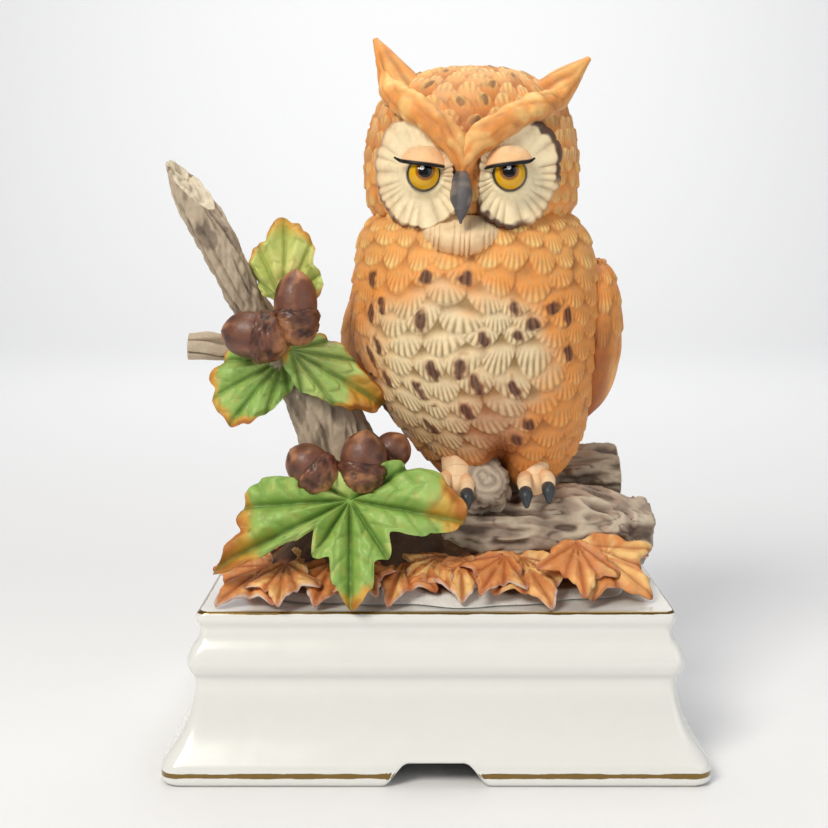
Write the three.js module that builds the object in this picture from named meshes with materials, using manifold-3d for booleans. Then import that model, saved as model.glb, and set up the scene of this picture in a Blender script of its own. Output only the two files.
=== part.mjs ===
// Bisque porcelain owl on a log, with oak leaves and acorns, on a hollow stepped plinth.
//
// Millimetres, +Z up, +X to the viewer's right, -Y towards the viewer. The origin is the middle of the
// plinth's foot, on the surface that the figurine stands on. Every piece is a closed surface: a stack of
// oval rings, a limb swept along a curve, or a lobed leaf. Pieces are added from the ground up, and each
// is cut back from the ones it is stuck to, with the width of a slip joint left between them.

import * as THREE from 'three';
import { ParametricGeometry } from 'three/addons/geometries/ParametricGeometry.js';
import { mergeVertices } from 'three/addons/utils/BufferGeometryUtils.js';
import Module from 'manifold-3d';

const wasm = await Module();
wasm.setup();

// ---------------------------------------------------------------- driving dimensions

const PLINTH_HALF_WIDTH = 74.5;
const PLINTH_HALF_DEPTH = 55.5;
const PLINTH_HEIGHT = 46;
const PLINTH_CORNER = 5;
const CASTING_WALL = 4.6; // slip-cast wall of the plinth and the owl
const SLIP_JOINT = 0.35; // gap left between two pieces that are stuck together
const NOTCH_HALF_WIDTH = 14.5;
const NOTCH_HEIGHT = 6.4;
const DRAIN_RADIUS = 5; // hole that drains the casting, from the plinth's inside up into the owl
const DRAIN_AT = new THREE.Vector2(19, -4);
const NECK_PASSAGE_RADIUS = 12;

const OWL_MIDDLE = 11; // the owl sits right of the plinth's middle
const GROUND = PLINTH_HEIGHT + SLIP_JOINT;
const WELD = 1e-3;

const COLOURS = {
  glaze: 0xf1efe9,
  earth: 0x8a6a45,
  bark: 0x8f8073,
  palebark: 0xb3a594,
  russet: 0xc9773a,
  green: 0x7fae4b,
  limegreen: 0xb7c65a,
  acornnut: 0x6b3a24,
  acorncup: 0x7c4c2c,
  plumage: 0xe2a264,
  face: 0xe6d3ac,
  beak: 0x4a4644,
  iris: 0xd9a514,
  talon: 0x2c3236,
  foot: 0xd9a878,
};

function finish(name, roughness = 0.75) {
  return new THREE.MeshStandardMaterial({ color: COLOURS[name], roughness, metalness: 0 });
}

// ---------------------------------------------------------------- closed surfaces and solids

// The geometry with shared corners merged, faces that collapsed at a pole dropped, and all faces turned
// outwards.
function closed(geometry) {
  const bare = new THREE.BufferGeometry();
  bare.setAttribute('position', geometry.getAttribute('position').clone());
  if (geometry.getIndex()) bare.setIndex(geometry.getIndex().clone());
  const merged = mergeVertices(bare, WELD);
  const faces = merged.getIndex().array;
  const at = merged.getAttribute('position');
  const [a, b, c] = [new THREE.Vector3(), new THREE.Vector3(), new THREE.Vector3()];
  const kept = [];
  let volume = 0;
  for (let i = 0; i < faces.length; i += 3) {
    const [p, q, r] = [faces[i], faces[i + 1], faces[i + 2]];
    if (p === q || q === r || r === p) continue;
    kept.push(p, q, r);
    a.fromBufferAttribute(at, p);
    b.fromBufferAttribute(at, q);
    c.fromBufferAttribute(at, r);
    volume += a.dot(b.cross(c));
  }
  if (volume < 0) kept.reverse();
  merged.setIndex(kept);
  return merged;
}

function solidOf(geometry) {
  return new wasm.Manifold(new wasm.Mesh({
    numProp: 3,
    vertProperties: new Float32Array(geometry.getAttribute('position').array),
    triVerts: new Uint32Array(geometry.getIndex().array),
  }));
}

function geometryOf(solid) {
  const mesh = solid.getMesh();
  const geometry = new THREE.BufferGeometry();
  geometry.setAttribute('position', new THREE.BufferAttribute(new Float32Array(mesh.vertProperties), 3));
  geometry.setIndex(new THREE.BufferAttribute(new Uint32Array(mesh.triVerts), 1));
  return geometry;
}

// The same surface pushed out along its normals, or in with a negative distance.
function grown(geometry, distance) {
  const wider = geometry.clone();
  wider.computeVertexNormals();
  const at = wider.getAttribute('position');
  const normal = wider.getAttribute('normal');
  for (let i = 0; i < at.count; i += 1) {
    at.setXYZ(
      i,
      at.getX(i) + distance * normal.getX(i),
      at.getY(i) + distance * normal.getY(i),
      at.getZ(i) + distance * normal.getZ(i),
    );
  }
  wider.deleteAttribute('normal');
  return wider;
}

function united(geometries) {
  return geometries.map(solidOf).reduce((sum, next) => sum.add(next));
}

// ---------------------------------------------------------------- the figurine's assembly

const figurine = new THREE.Group();
const placed = [];

// Adds one piece, made of one closed surface or of several that overlap. It is cut back from each piece
// already placed that it meets, then from the listed hollows, and the largest body that is left is kept.
function add(name, colour, surfaces, { hollows = [], roughness } = {}) {
  const parts = [surfaces].flat();
  const wider = parts.map((part) => grown(part, SLIP_JOINT));
  const box = new THREE.Box3();
  wider.forEach((part) => box.union(new THREE.Box3().setFromBufferAttribute(part.getAttribute('position'))));
  let solid = united(parts);
  for (const other of placed) {
    if (other.box.intersectsBox(box)) solid = solid.subtract(other.clearance);
  }
  for (const hollow of hollows) solid = solid.subtract(solidOf(hollow));
  const bodies = solid.decompose().sort((p, q) => q.volume() - p.volume());
  const mesh = new THREE.Mesh(geometryOf(bodies[0]), finish(colour, roughness));
  mesh.name = name;
  figurine.add(mesh);
  placed.push({ box, clearance: united(wider) });
}

// ---------------------------------------------------------------- shape functions

// Values given at stations, blended smoothly between them: t runs from 0 to 1 over the whole list.
function blended(values, t) {
  const spans = values.length - 1;
  const i = Math.min(Math.floor(t * spans), spans - 1);
  const at = (k) => values[THREE.MathUtils.clamp(k, 0, spans)];
  const s = t * spans - i;
  const [p, q, r, w] = [at(i - 1), at(i), at(i + 1), at(i + 2)];
  return 0.5 * (2 * q + (r - p) * s + (2 * p - 5 * q + 4 * r - w) * s * s + (3 * q - p - 3 * r + w) * s ** 3);
}

// A stack of ovals, each [height, middle x, middle y, half width, reach forwards, reach back]. The first
// and the last have no size, so they are the poles.
function ovals(rings, around, along) {
  const column = rings[0].map((_, k) => rings.map((ring) => ring[k]));
  return closed(new ParametricGeometry((u, v, point) => {
    const [z, x, y, halfWidth, forwards, back] = column.map((values) => blended(values, v));
    const angle = u * 2 * Math.PI;
    const side = Math.sin(angle);
    const ends = v === 0 || v === 1 ? 0 : 1;
    point.set(
      x + ends * halfWidth * Math.cos(angle),
      y + ends * side * (side < 0 ? forwards : back),
      z,
    );
  }, around, along));
}

// A limb swept along a curve through the points [x, y, z, radius]. Its ends are flat faces. `ridges` is
// how far bark ridges stand out, as a share of the radius, and `flat` squeezes the section along its
// second direction.
function limb(points, around, along, { ridges = 0, ridgeCount = 5, flat = 1 } = {}) {
  const stations = points.map(([x, y, z]) => new THREE.Vector3(x, y, z));
  const path = new THREE.CatmullRomCurve3(stations, false, 'centripetal');
  const radii = points.map((p) => p[3]);
  const level = new THREE.Vector3(0, 0, 1);
  const [side, rise] = [new THREE.Vector3(), new THREE.Vector3()];
  return closed(new ParametricGeometry((u, v, point) => {
    const step = Math.round(v * (along + 2));
    const t = THREE.MathUtils.clamp((step - 1) / along, 0, 1);
    const onAxis = step === 0 || step === along + 2;
    const angle = u * 2 * Math.PI;
    const swell = 1 + ridges * Math.cos(ridgeCount * angle + 3 * t) * Math.cos(2 * angle - 5 * t);
    const radius = onAxis ? 0 : blended(radii, t) * swell;
    path.getPoint(t, point);
    const tangent = path.getTangent(t);
    side.crossVectors(tangent, level).normalize();
    rise.crossVectors(side, tangent).normalize();
    point.addScaledVector(side, radius * Math.cos(angle));
    point.addScaledVector(rise, radius * Math.sin(angle) * flat);
  }, around, along + 2));
}

// An ellipsoid with the three half sizes, at a place, turned by the angles about X, Y and Z.
function ellipsoid(half, place, turn = [0, 0, 0], around = 16, along = 10) {
  const ball = new THREE.SphereGeometry(1, around, along);
  ball.scale(...half);
  return closed(posed(ball, place, turn));
}

function posed(geometry, place, turn) {
  const rotation = new THREE.Quaternion().setFromEuler(new THREE.Euler(...turn));
  const unscaled = new THREE.Vector3(1, 1, 1);
  const matrix = new THREE.Matrix4().compose(new THREE.Vector3(...place), rotation, unscaled);
  return geometry.applyMatrix4(matrix);
}

// A leaf's outline, given as [degrees, reach] from its middle, with the reach eased between those
// directions.
function reach(outline, degrees) {
  const first = outline[0][0];
  const turned = first + THREE.MathUtils.euclideanModulo(degrees - first, 360);
  const next = outline.findIndex((point) => point[0] > turned);
  const [a0, r0] = outline[(next < 0 ? outline.length : next) - 1];
  const [a1, r1] = next < 0 ? [first + 360, outline[0][1]] : outline[next];
  const s = (turned - a0) / (a1 - a0);
  return THREE.MathUtils.lerp(r0, r1, s * s * (3 - 2 * s));
}

// A leaf of the given thickness in its own plane, facing +Z: it bows down by `droop` times the square of
// the reach, curls by `curl` across its width, and is then placed and turned.
function leaf(outline, { thickness = 3, droop = 0, curl = 0, around = 40, rings = 2, place, turn }) {
  const blade = new ParametricGeometry((u, v, point) => {
    const across = Math.min(v, 1 - v) * 2;
    const far = reach(outline, u * 360) * across;
    const angle = u * 2 * Math.PI;
    const half = 0.5 * thickness * (1 - 0.55 * across ** 6);
    const level = v === 0.5 ? 0 : Math.sign(0.5 - v) * half;
    const x = far * Math.cos(angle);
    const y = far * Math.sin(angle);
    point.set(x, y, level - droop * far * far - curl * x * x);
  }, around, 2 * rings);
  return closed(posed(blade, place, turn));
}

// ---------------------------------------------------------------- plinth

// The plinth's side from the foot up, as [inset from the widest point, height]: lip, long hollow, bead,
// cove, rim.
const PLINTH_SIDE = [
  [1.4, 0], [0, 2], [0, 5.2], [1.2, 7.2], [4.6, 12], [6.8, 17], [8.4, 23], [8.4, 27],
  [7.3, 29.6], [6.8, 32.4], [7.6, 35.6], [9.6, 38.4], [10, 41], [8.9, 44], [9.5, PLINTH_HEIGHT],
];

// A rectangle with round corners, walked once round: t from 0 to 1.
function roundedRectangle(halfWidth, halfDepth, corner) {
  const shape = new THREE.Shape();
  const [w, d, r] = [halfWidth, halfDepth, corner];
  shape.moveTo(w, -d + r);
  shape.lineTo(w, d - r).absarc(w - r, d - r, r, 0, Math.PI / 2);
  shape.lineTo(-w + r, d).absarc(-w + r, d - r, r, Math.PI / 2, Math.PI);
  shape.lineTo(-w, -d + r).absarc(-w + r, -d + r, r, Math.PI, 1.5 * Math.PI);
  shape.lineTo(w - r, -d).absarc(w - r, -d + r, r, 1.5 * Math.PI, 2 * Math.PI);
  return shape.getPoints(2);
}

// The plinth's outside, or with a wall and a top its inside, as a stack of rounded rectangles.
function steppedBlock(side, wall = 0) {
  const corner = (inset) => Math.max(PLINTH_CORNER - 0.25 * inset - 0.5 * wall, 1.5);
  const outline = (inset) => roundedRectangle(
    PLINTH_HALF_WIDTH - inset - wall,
    PLINTH_HALF_DEPTH - inset - wall,
    corner(inset),
  );
  const loops = side.map(([inset]) => outline(inset));
  const count = loops[0].length - 1;
  const last = side.length + 1;
  return closed(new ParametricGeometry((u, v, point) => {
    const row = Math.round(v * last);
    const level = THREE.MathUtils.clamp(row - 1, 0, side.length - 1);
    const at = loops[level][Math.round(u * count) % count];
    const onAxis = row === 0 || row === last;
    point.set(onAxis ? 0 : at.x, onAxis ? 0 : at.y, side[level][1]);
  }, count, last));
}

// The bracket-shaped gap in the foot, cut right through from front to back.
function footNotch() {
  const shape = new THREE.Shape();
  const [w, h] = [NOTCH_HALF_WIDTH, NOTCH_HEIGHT];
  shape.moveTo(-w - 1.5, -1);
  shape.lineTo(-w - 0.6, 0.4);
  shape.bezierCurveTo(-w + 3.4, 1.2, -w + 2.4, h - 0.6, -w + 6.5, h);
  shape.lineTo(w - 6.5, h);
  shape.bezierCurveTo(w - 2.4, h - 0.6, w - 3.4, 1.2, w + 0.6, 0.4);
  shape.lineTo(w + 1.5, -1);
  const depth = 2 * PLINTH_HALF_DEPTH + 10;
  const gap = new THREE.ExtrudeGeometry(shape, { depth, bevelEnabled: false, curveSegments: 5 });
  return closed(posed(gap, [0, depth / 2, 0], [Math.PI / 2, 0, 0]));
}

function drain(low, high) {
  const hole = new THREE.CylinderGeometry(DRAIN_RADIUS, DRAIN_RADIUS, high - low, 12);
  return closed(posed(hole, [DRAIN_AT.x, DRAIN_AT.y, (low + high) / 2], [Math.PI / 2, 0, 0]));
}

// The inside follows the outside one wall in, and runs out below the foot so that it is open underneath.
const PLINTH_INSIDE = PLINTH_SIDE
  .filter(([, height]) => height > 2 && height < PLINTH_HEIGHT - CASTING_WALL - 2)
  .filter((_, i) => i % 2 === 0);
PLINTH_INSIDE.unshift([0.6, -1]);
PLINTH_INSIDE.push([10, PLINTH_HEIGHT - CASTING_WALL]);

add('plinth', 'glaze', steppedBlock(PLINTH_SIDE), {
  hollows: [steppedBlock(PLINTH_INSIDE, CASTING_WALL), footNotch(), drain(30, 60)],
  roughness: 0.2,
});

// ---------------------------------------------------------------- ground, logs and branch

// The mound of earth: a low dome with an uneven edge that stands on the plinth's top.
function mound() {
  const [halfWidth, halfDepth, rise, edge] = [60, 41, 13, 2.4];
  const rows = 8;
  return closed(new ParametricGeometry((u, v, point) => {
    const row = Math.round(v * rows);
    const across = row === rows ? 0 : Math.min(row / (rows - 2), 1);
    const angle = u * 2 * Math.PI;
    const uneven = 1 + 0.03 * Math.cos(5 * angle + 1) + 0.02 * Math.cos(9 * angle);
    const squared = (Math.abs(Math.cos(angle)) ** 3.2 + Math.abs(Math.sin(angle)) ** 3.2) ** (-1 / 3.2);
    const far = across * uneven * squared;
    const height = row < rows - 1 ? edge + (rise - edge) * (1 - across ** 2.2) : 0;
    point.set(halfWidth * far * Math.cos(angle), halfDepth * far * Math.sin(angle), GROUND + height);
  }, 32, rows));
}

const EARTH_LUMP = ellipsoid([23, 17, 14], [-20, -18, 66], [0, 0, 0], 18, 10);
add('ground_mound', 'earth', [mound(), EARTH_LUMP], { hollows: [drain(40, 80)] });

const LOG_FRONT = limb([
  [-14, -4, 57, 11], [4, -11, 60, 13], [24, -13, 61, 13.5], [44, -10, 60.5, 12.5], [63, -5, 58, 11],
], 18, 9, { ridges: 0.07, ridgeCount: 6 });
add('log_front', 'bark', LOG_FRONT, { hollows: [drain(40, 90)] });

add('log_rear', 'bark', limb([
  [8, 12, 63, 10], [24, 9, 70, 9.5], [42, 8, 74, 8.6], [57.5, 8, 75.5, 7.8],
], 14, 6, { ridges: 0.06, ridgeCount: 5 }), { hollows: [drain(40, 90)] });

add('log_knot', 'bark', limb([
  [14, -10, 71, 8], [14, -18, 75, 7.6], [14, -24.5, 78.5, 6.6],
], 16, 4, { ridges: 0.05 }));

// The branch rises from the mound and ends in a long slanting break that faces up and to the right.
const BRANCH = limb([
  [-19, -6, 54, 16], [-25, -9, 74, 13.8], [-30, -11, 91, 11.2], [-38, -14, 106, 8.4],
  [-46.5, -16.5, 118, 6.4], [-54.6, -19, 131.7, 5.4], [-61.8, -21.5, 146, 5.2],
  [-67.4, -23.5, 158, 5.1], [-69.4, -25, 168, 4.4],
], 14, 14, { ridges: 0.07, ridgeCount: 4 });
const BREAK_SLOPE = 0.65;
const BREAK = closed(posed(new THREE.BoxGeometry(40, 40, 16), [-63.5, -24, 169], [0, BREAK_SLOPE, 0]));
add('branch', 'palebark', geometryOf(solidOf(BRANCH).subtract(solidOf(BREAK))));

add('branch_stub', 'palebark', limb([
  [-44, -15, 114.5, 4.8], [-58, -16, 115.2, 4.2], [-70.6, -17, 115.8, 4],
], 12, 4, { ridges: 0.06, ridgeCount: 3 }));

// ---------------------------------------------------------------- owl

// Rings of the body and the head, from the lower pole up.
const BODY_RINGS = [
  [73.5, 20, -3, 0, 0, 0], [75, 20, -3, 14, 13, 14], [80, 19.6, -3, 20.5, 20, 20.5],
  [88, 18, -2.6, 26, 26.5, 26], [99, 15, -1.6, 31.8, 32, 30.5], [113, 12.4, -1, 36.2, 34.8, 33.5],
  [127, 12, -0.6, 37.4, 34.5, 34], [140, 12, 0, 36, 32, 32.5], [150, 11.4, 0, 31.5, 28.5, 28.5],
  [157, 11, 0, 20, 19, 19], [159, 11, 0, 0, 0, 0],
];
const HEAD_RINGS = [
  [150.5, 10.8, -2, 0, 0, 0], [152, 10.8, -2, 19, 19, 18], [156, 10.8, -1.5, 28.6, 27, 26],
  [162, 10.8, -1, 31.2, 29.5, 28.5], [170, 10.8, -0.6, 31.4, 29.5, 29], [178, 10.8, -0.4, 30, 27.6, 28],
  [186, 10.7, -0.2, 26.6, 24, 25], [192, 10.6, 0, 19.5, 17.5, 18.5], [195.2, 10.5, 0, 10, 9, 10],
  [196, 10.5, 0, 0, 0, 0],
];

// The hollow inside a stack of rings: the same rings one wall in, but for the poles.
function inside(rings, around, along) {
  const [low, high] = [rings[0][0] + CASTING_WALL, rings[rings.length - 1][0] - CASTING_WALL];
  const inner = rings.map(([z, x, y, ...halves]) => [
    THREE.MathUtils.mapLinear(z, rings[0][0], rings[rings.length - 1][0], low, high),
    x,
    y,
    ...halves.map((half) => Math.max(half - CASTING_WALL, 0)),
  ]);
  return ovals(inner, around, along);
}

const NECK_PASSAGE = closed(posed(
  new THREE.CylinderGeometry(NECK_PASSAGE_RADIUS, NECK_PASSAGE_RADIUS, 30, 16),
  [OWL_MIDDLE, -1, 154],
  [Math.PI / 2, 0, 0],
));

add('owl_head', 'plumage', ovals(HEAD_RINGS, 22, 12), { hollows: [inside(HEAD_RINGS, 12, 6), NECK_PASSAGE] });
add('owl_body', 'plumage', ovals(BODY_RINGS, 24, 14), {
  hollows: [inside(BODY_RINGS, 12, 8), NECK_PASSAGE, drain(60, 95)],
});

// Wings lie along the sides and reach behind the body; the tail hangs down behind the log.
add('wing_left', 'plumage', ellipsoid([7.5, 19, 24], [-20.5, 7, 117], [0.12, 0.2, 0.16], 14, 10));
add('wing_right', 'plumage', ellipsoid([8, 20, 25.5], [47.6, 8.5, 116], [0.12, -0.16, -0.14], 14, 10));
add('tail', 'plumage', limb([
  [15, 26, 98, 13], [15.5, 31, 86, 14], [16, 35, 74, 13.5], [16.5, 37.5, 64, 10.5],
], 16, 8, { flat: 0.38 }));

// The tuft of chin feathers under the beak.
add('chin_tuft', 'face', ellipsoid([12, 5.2, 5], [7.4, -28.6, 148.2], [0.2, 0, 0], 16, 8));

// Pairs of pieces on the face: [side name, eye place, way the disc faces about Z].
const FACE_SIDES = [
  { side: 'left', eye: [-3.2, -27.6, 163.6], disc: [-4.6, -24, 164.6], face: -0.4, brow: -1 },
  { side: 'right', eye: [19.6, -28.4, 163.6], disc: [22.4, -25, 165], face: 0.36, brow: 1 },
];
const EYE_RADIUS = 4.7;
const LID_RADIUS = 5.7;

for (const { side, eye } of FACE_SIDES) {
  add(`eye_${side}`, 'iris', ellipsoid([EYE_RADIUS, EYE_RADIUS, EYE_RADIUS], eye, [0, 0, 0], 14, 10), {
    roughness: 0.15,
  });
}

// An eyelid is the upper part of a shell around the eye, cut off by a plane that slopes towards the beak.
for (const { side, eye, brow } of FACE_SIDES) {
  const [x, y, z] = eye;
  const shell = ellipsoid([LID_RADIUS + 0.8, LID_RADIUS, LID_RADIUS], [x, y, z + 0.4], [0, 0, 0], 14, 10);
  const below = closed(posed(new THREE.BoxGeometry(24, 24, 14), [x, y, z - 5], [0, brow * -0.12, 0]));
  add(`eyelid_${side}`, 'face', geometryOf(solidOf(shell).subtract(solidOf(below))));
}

// A face disc is a shallow dish with the eye in it.
for (const { side, eye, disc, face } of FACE_SIDES) {
  const dish = ellipsoid([10.6, 6, 10], [eye[0], disc[1] - 11.4, eye[2]], [0, 0, 0], 14, 8);
  const rim = ellipsoid([13.4, 7, 14.2], disc, [-0.1, 0, face], 18, 10);
  add(`face_disc_${side}`, 'face', rim, { hollows: [dish] });
}

// The beak, and a brow ridge on each side that runs from above the beak up to the foot of the ear tuft.
add('beak', 'beak', limb([
  [6.9, -30.5, 165, 2], [6.8, -33.4, 161.5, 3.2], [6.6, -35.6, 157, 2.9], [6.4, -35.8, 152.2, 0.6],
], 12, 6), { roughness: 0.4 });

const EAR_LEFT = limb([
  [-4, -7.5, 180, 8.6], [-8.6, -7, 188, 7.6], [-13, -5.6, 195.6, 4.6], [-17, -4, 202.6, 0.8],
], 12, 5);
const EAR_RIGHT = limb([
  [25, -7.5, 180, 8.6], [31.6, -7, 186.4, 7.6], [38.2, -5.6, 192, 4.8], [43.8, -4, 197.4, 0.9],
], 12, 5);
add('ear_tuft_left', 'plumage', EAR_LEFT);
add('ear_tuft_right', 'plumage', EAR_RIGHT);
add('brow_left', 'plumage', limb([
  [7, -31.8, 166, 1.8], [4, -31.4, 172, 3.8], [-2, -27.8, 178, 4.4], [-8.4, -19.6, 183.6, 4.4],
  [-11.6, -11, 187.8, 3],
], 10, 7));
add('brow_right', 'plumage', limb([
  [7.8, -32, 166, 1.8], [11, -31.6, 171.6, 3.8], [18.6, -28.6, 176.8, 4.4], [27.6, -21, 181.6, 4.4],
  [33.8, -11.6, 185.8, 3],
], 10, 7));

// A foot is an ankle and two forward toes on the log, each toe ending in a talon.
const FEET = [
  { side: 'left', ankle: [6.6, -20, 82], toes: [[2.4, -30.5, 75.2], [8.8, -30.8, 74.6]] },
  { side: 'right', ankle: [28.4, -19, 82], toes: [[25.2, -31, 75.2], [31.6, -29.6, 76.2]] },
];
for (const { side, ankle, toes } of FEET) {
  const [x, y, z] = ankle;
  const leg = limb([[x, y + 3, z + 5, 7], [x, y, z, 5.6], [x, y - 4, z - 5, 4.6]], 12, 3);
  const toeLimbs = toes.map(([tx, ty, tz]) => limb([
    [x + 0.5 * (tx - x), y - 1, z - 3.4, 3.4], [tx, ty + 4, tz + 2, 3.2], [tx, ty, tz, 2.1],
  ], 8, 3));
  add(`foot_${side}`, 'foot', [leg, ...toeLimbs]);
  toes.forEach(([tx, ty, tz], i) => {
    add(`talon_${side}_${i + 1}`, 'talon', limb([
      [tx, ty + 0.2, tz + 0.4, 1.7], [tx, ty - 1.9, tz - 0.6, 1.4], [tx, ty - 3, tz - 2.8, 0.5],
    ], 8, 3), { roughness: 0.3 });
  });
}

// ---------------------------------------------------------------- leaves

const UPRIGHT = Math.PI / 2;

// The large lobed leaf over the front of the mound: three long lobes, with the middle one hanging over
// the rim.
const FRONT_LEAF = [
  [-10, 33], [12, 26.5], [33, 18], [60, 10], [120, 10], [158, 15], [166, 24.5], [179, 30], [190, 32],
  [196, 31], [202, 36], [208, 41], [214, 31], [218, 20], [223, 13.5], [238, 18.5], [252, 17.5],
  [261, 25], [272, 31],
  [284, 25], [292, 19], [305, 20], [319, 14.5], [336, 24], [346, 32],
];
add('leaf_front', 'green', leaf(FRONT_LEAF, {
  thickness: 3, droop: 0.0022, curl: 0.001, around: 60, place: [-23.4, -37.2, 75.4], turn: [1.12, 0, 0],
}));

const UPPER_LEAF = [
  [-41, 12], [-10, 9.2], [11, 7.8], [40, 10.4], [60, 11.6], [72, 13.4], [92, 14.6], [112, 12.2], [123, 10.4],
  [135, 11.4], [158, 11.6], [190, 10], [231, 9.6], [270, 10],
];
add('leaf_upper', 'limegreen', leaf(UPPER_LEAF, {
  thickness: 3, droop: 0.006, around: 40, place: [-41.4, -21.8, 137.6], turn: [UPRIGHT - 0.1, -0.15, 0.1],
}));

const LEFT_LEAF = [
  [-46, 9.7], [-18, 9.3], [15, 10.4], [43, 11.4], [90, 8], [139, 11.2], [163, 10.8], [188, 13.2], [204, 12.4],
  [219, 14.4], [236, 14], [253, 16], [270, 13], [290, 11],
];
add('leaf_left', 'green', leaf(LEFT_LEAF, {
  thickness: 3, droop: 0.008, around: 40, place: [-50.4, -23.6, 107.6], turn: [UPRIGHT - 0.25, 0, -0.2],
}));

const RIGHT_LEAF = [
  [-44, 20.4], [-37, 21], [-6, 10.5], [27, 7.8], [65, 7.9], [105, 9.7], [130, 10.8], [156, 12], [222, 9.9],
  [252, 9], [286, 11.8], [299, 14.4],
];
add('leaf_right', 'limegreen', leaf(RIGHT_LEAF, {
  thickness: 3, droop: 0.004, around: 40, place: [-30.8, -22.6, 110.4], turn: [UPRIGHT - 0.2, 0.42, 0.12],
}));

// Fallen leaves lie round the mound, on its slope. Each has a pointed tip and two broad side lobes.
const FALLEN_LEAF = [
  [0, 9.5], [22, 15], [44, 9.5], [58, 9], [90, 16], [122, 9], [136, 9.5], [158, 15], [180, 9.5], [225, 8],
  [270, 7], [315, 8],
];
const FALLEN = [
  { name: 'front_left', place: [-49, -32.5, 53.2], turn: [0.42, -0.08, 2.4], size: 0.95 },
  { name: 'front_middle_left', place: [-30.5, -33, 54], turn: [0.44, 0, 2.9], size: 0.85 },
  { name: 'front_middle', place: [-9.5, -32.6, 54.6], turn: [0.46, 0, 2.9], size: 0.85 },
  { name: 'front_centre', place: [7.2, -33.2, 55], turn: [0.52, 0, Math.PI], size: 0.78 },
  { name: 'front_middle_right', place: [26, -31.8, 55.2], turn: [0.48, 0, -2.8], size: 0.98 },
  { name: 'front_right', place: [46.4, -28.6, 57.8], turn: [0.6, 0.2, -2.3], size: 1.15 },
  { name: 'right', place: [51.6, 9, 55], turn: [0, 0.5, -1.5], size: 0.92 },
  { name: 'back_right', place: [37, 31, 54.6], turn: [-0.44, 0, -0.4], size: 1 },
  { name: 'back_middle', place: [5, 31.6, 54.8], turn: [-0.44, 0, 0.15], size: 1 },
  { name: 'back_left', place: [-30, 31, 54.2], turn: [-0.44, 0, 0.5], size: 1 },
  { name: 'left', place: [-51.4, 5, 54.6], turn: [0, -0.48, 1.5], size: 0.92 },
];
for (const { name, place, turn, size } of FALLEN) {
  const outline = FALLEN_LEAF.map(([degrees, far]) => [degrees, far * size]);
  const blade = leaf(outline, { thickness: 2.6, droop: 0.004, around: 26, place, turn });
  add(`fallen_leaf_${name}`, 'russet', blade);
}

// ---------------------------------------------------------------- acorns

// An acorn points along its axis: a cup with a rolled rim at the foot, and a nut that ends in a small
// point.
function acorn(name, foot, tip, radius) {
  const [start, end] = [new THREE.Vector3(...foot), new THREE.Vector3(...tip)];
  const length = start.distanceTo(end);
  const axis = end.clone().sub(start).normalize();
  const turn = new THREE.Quaternion().setFromUnitVectors(new THREE.Vector3(0, 1, 0), axis);
  const lathe = (profile) => {
    const points = profile.map(([across, up]) => new THREE.Vector2(across * radius, up * length));
    const body = new THREE.LatheGeometry(points, 12);
    return closed(body.applyQuaternion(turn).translate(start.x, start.y, start.z));
  };
  const cup = lathe([[0, 0], [0.55, 0.03], [0.9, 0.14], [1.06, 0.3], [1.08, 0.42], [1, 0.46], [0, 0.46]]);
  const nut = lathe([
    [0, 0.3], [0.86, 0.32], [0.96, 0.44], [1, 0.55], [0.93, 0.72], [0.68, 0.87], [0.3, 0.96], [0, 1],
  ]);
  add(`acorn_cup_${name}`, 'acorncup', cup);
  add(`acorn_nut_${name}`, 'acornnut', nut, { roughness: 0.3 });
}

acorn('upper_left', [-40.6, -31, 118.4], [-59.4, -28.5, 121], 6.6);
acorn('upper_right', [-38.6, -29.6, 116.8], [-38.6, -27.6, 138], 6);
acorn('lower_left', [-28.6, -35.6, 78.6], [-40.4, -32, 88.4], 6);
acorn('lower_middle', [-21, -34.6, 76.4], [-19, -31.4, 93.8], 6.5);
acorn('lower_right', [-17, -24, 80.6], [-8.6, -22.5, 91], 5.4);

export default figurine;
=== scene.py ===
"""A bisque porcelain owl on a log, on a glazed plinth: its looks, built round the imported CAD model."""

import itertools
import math

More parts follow.
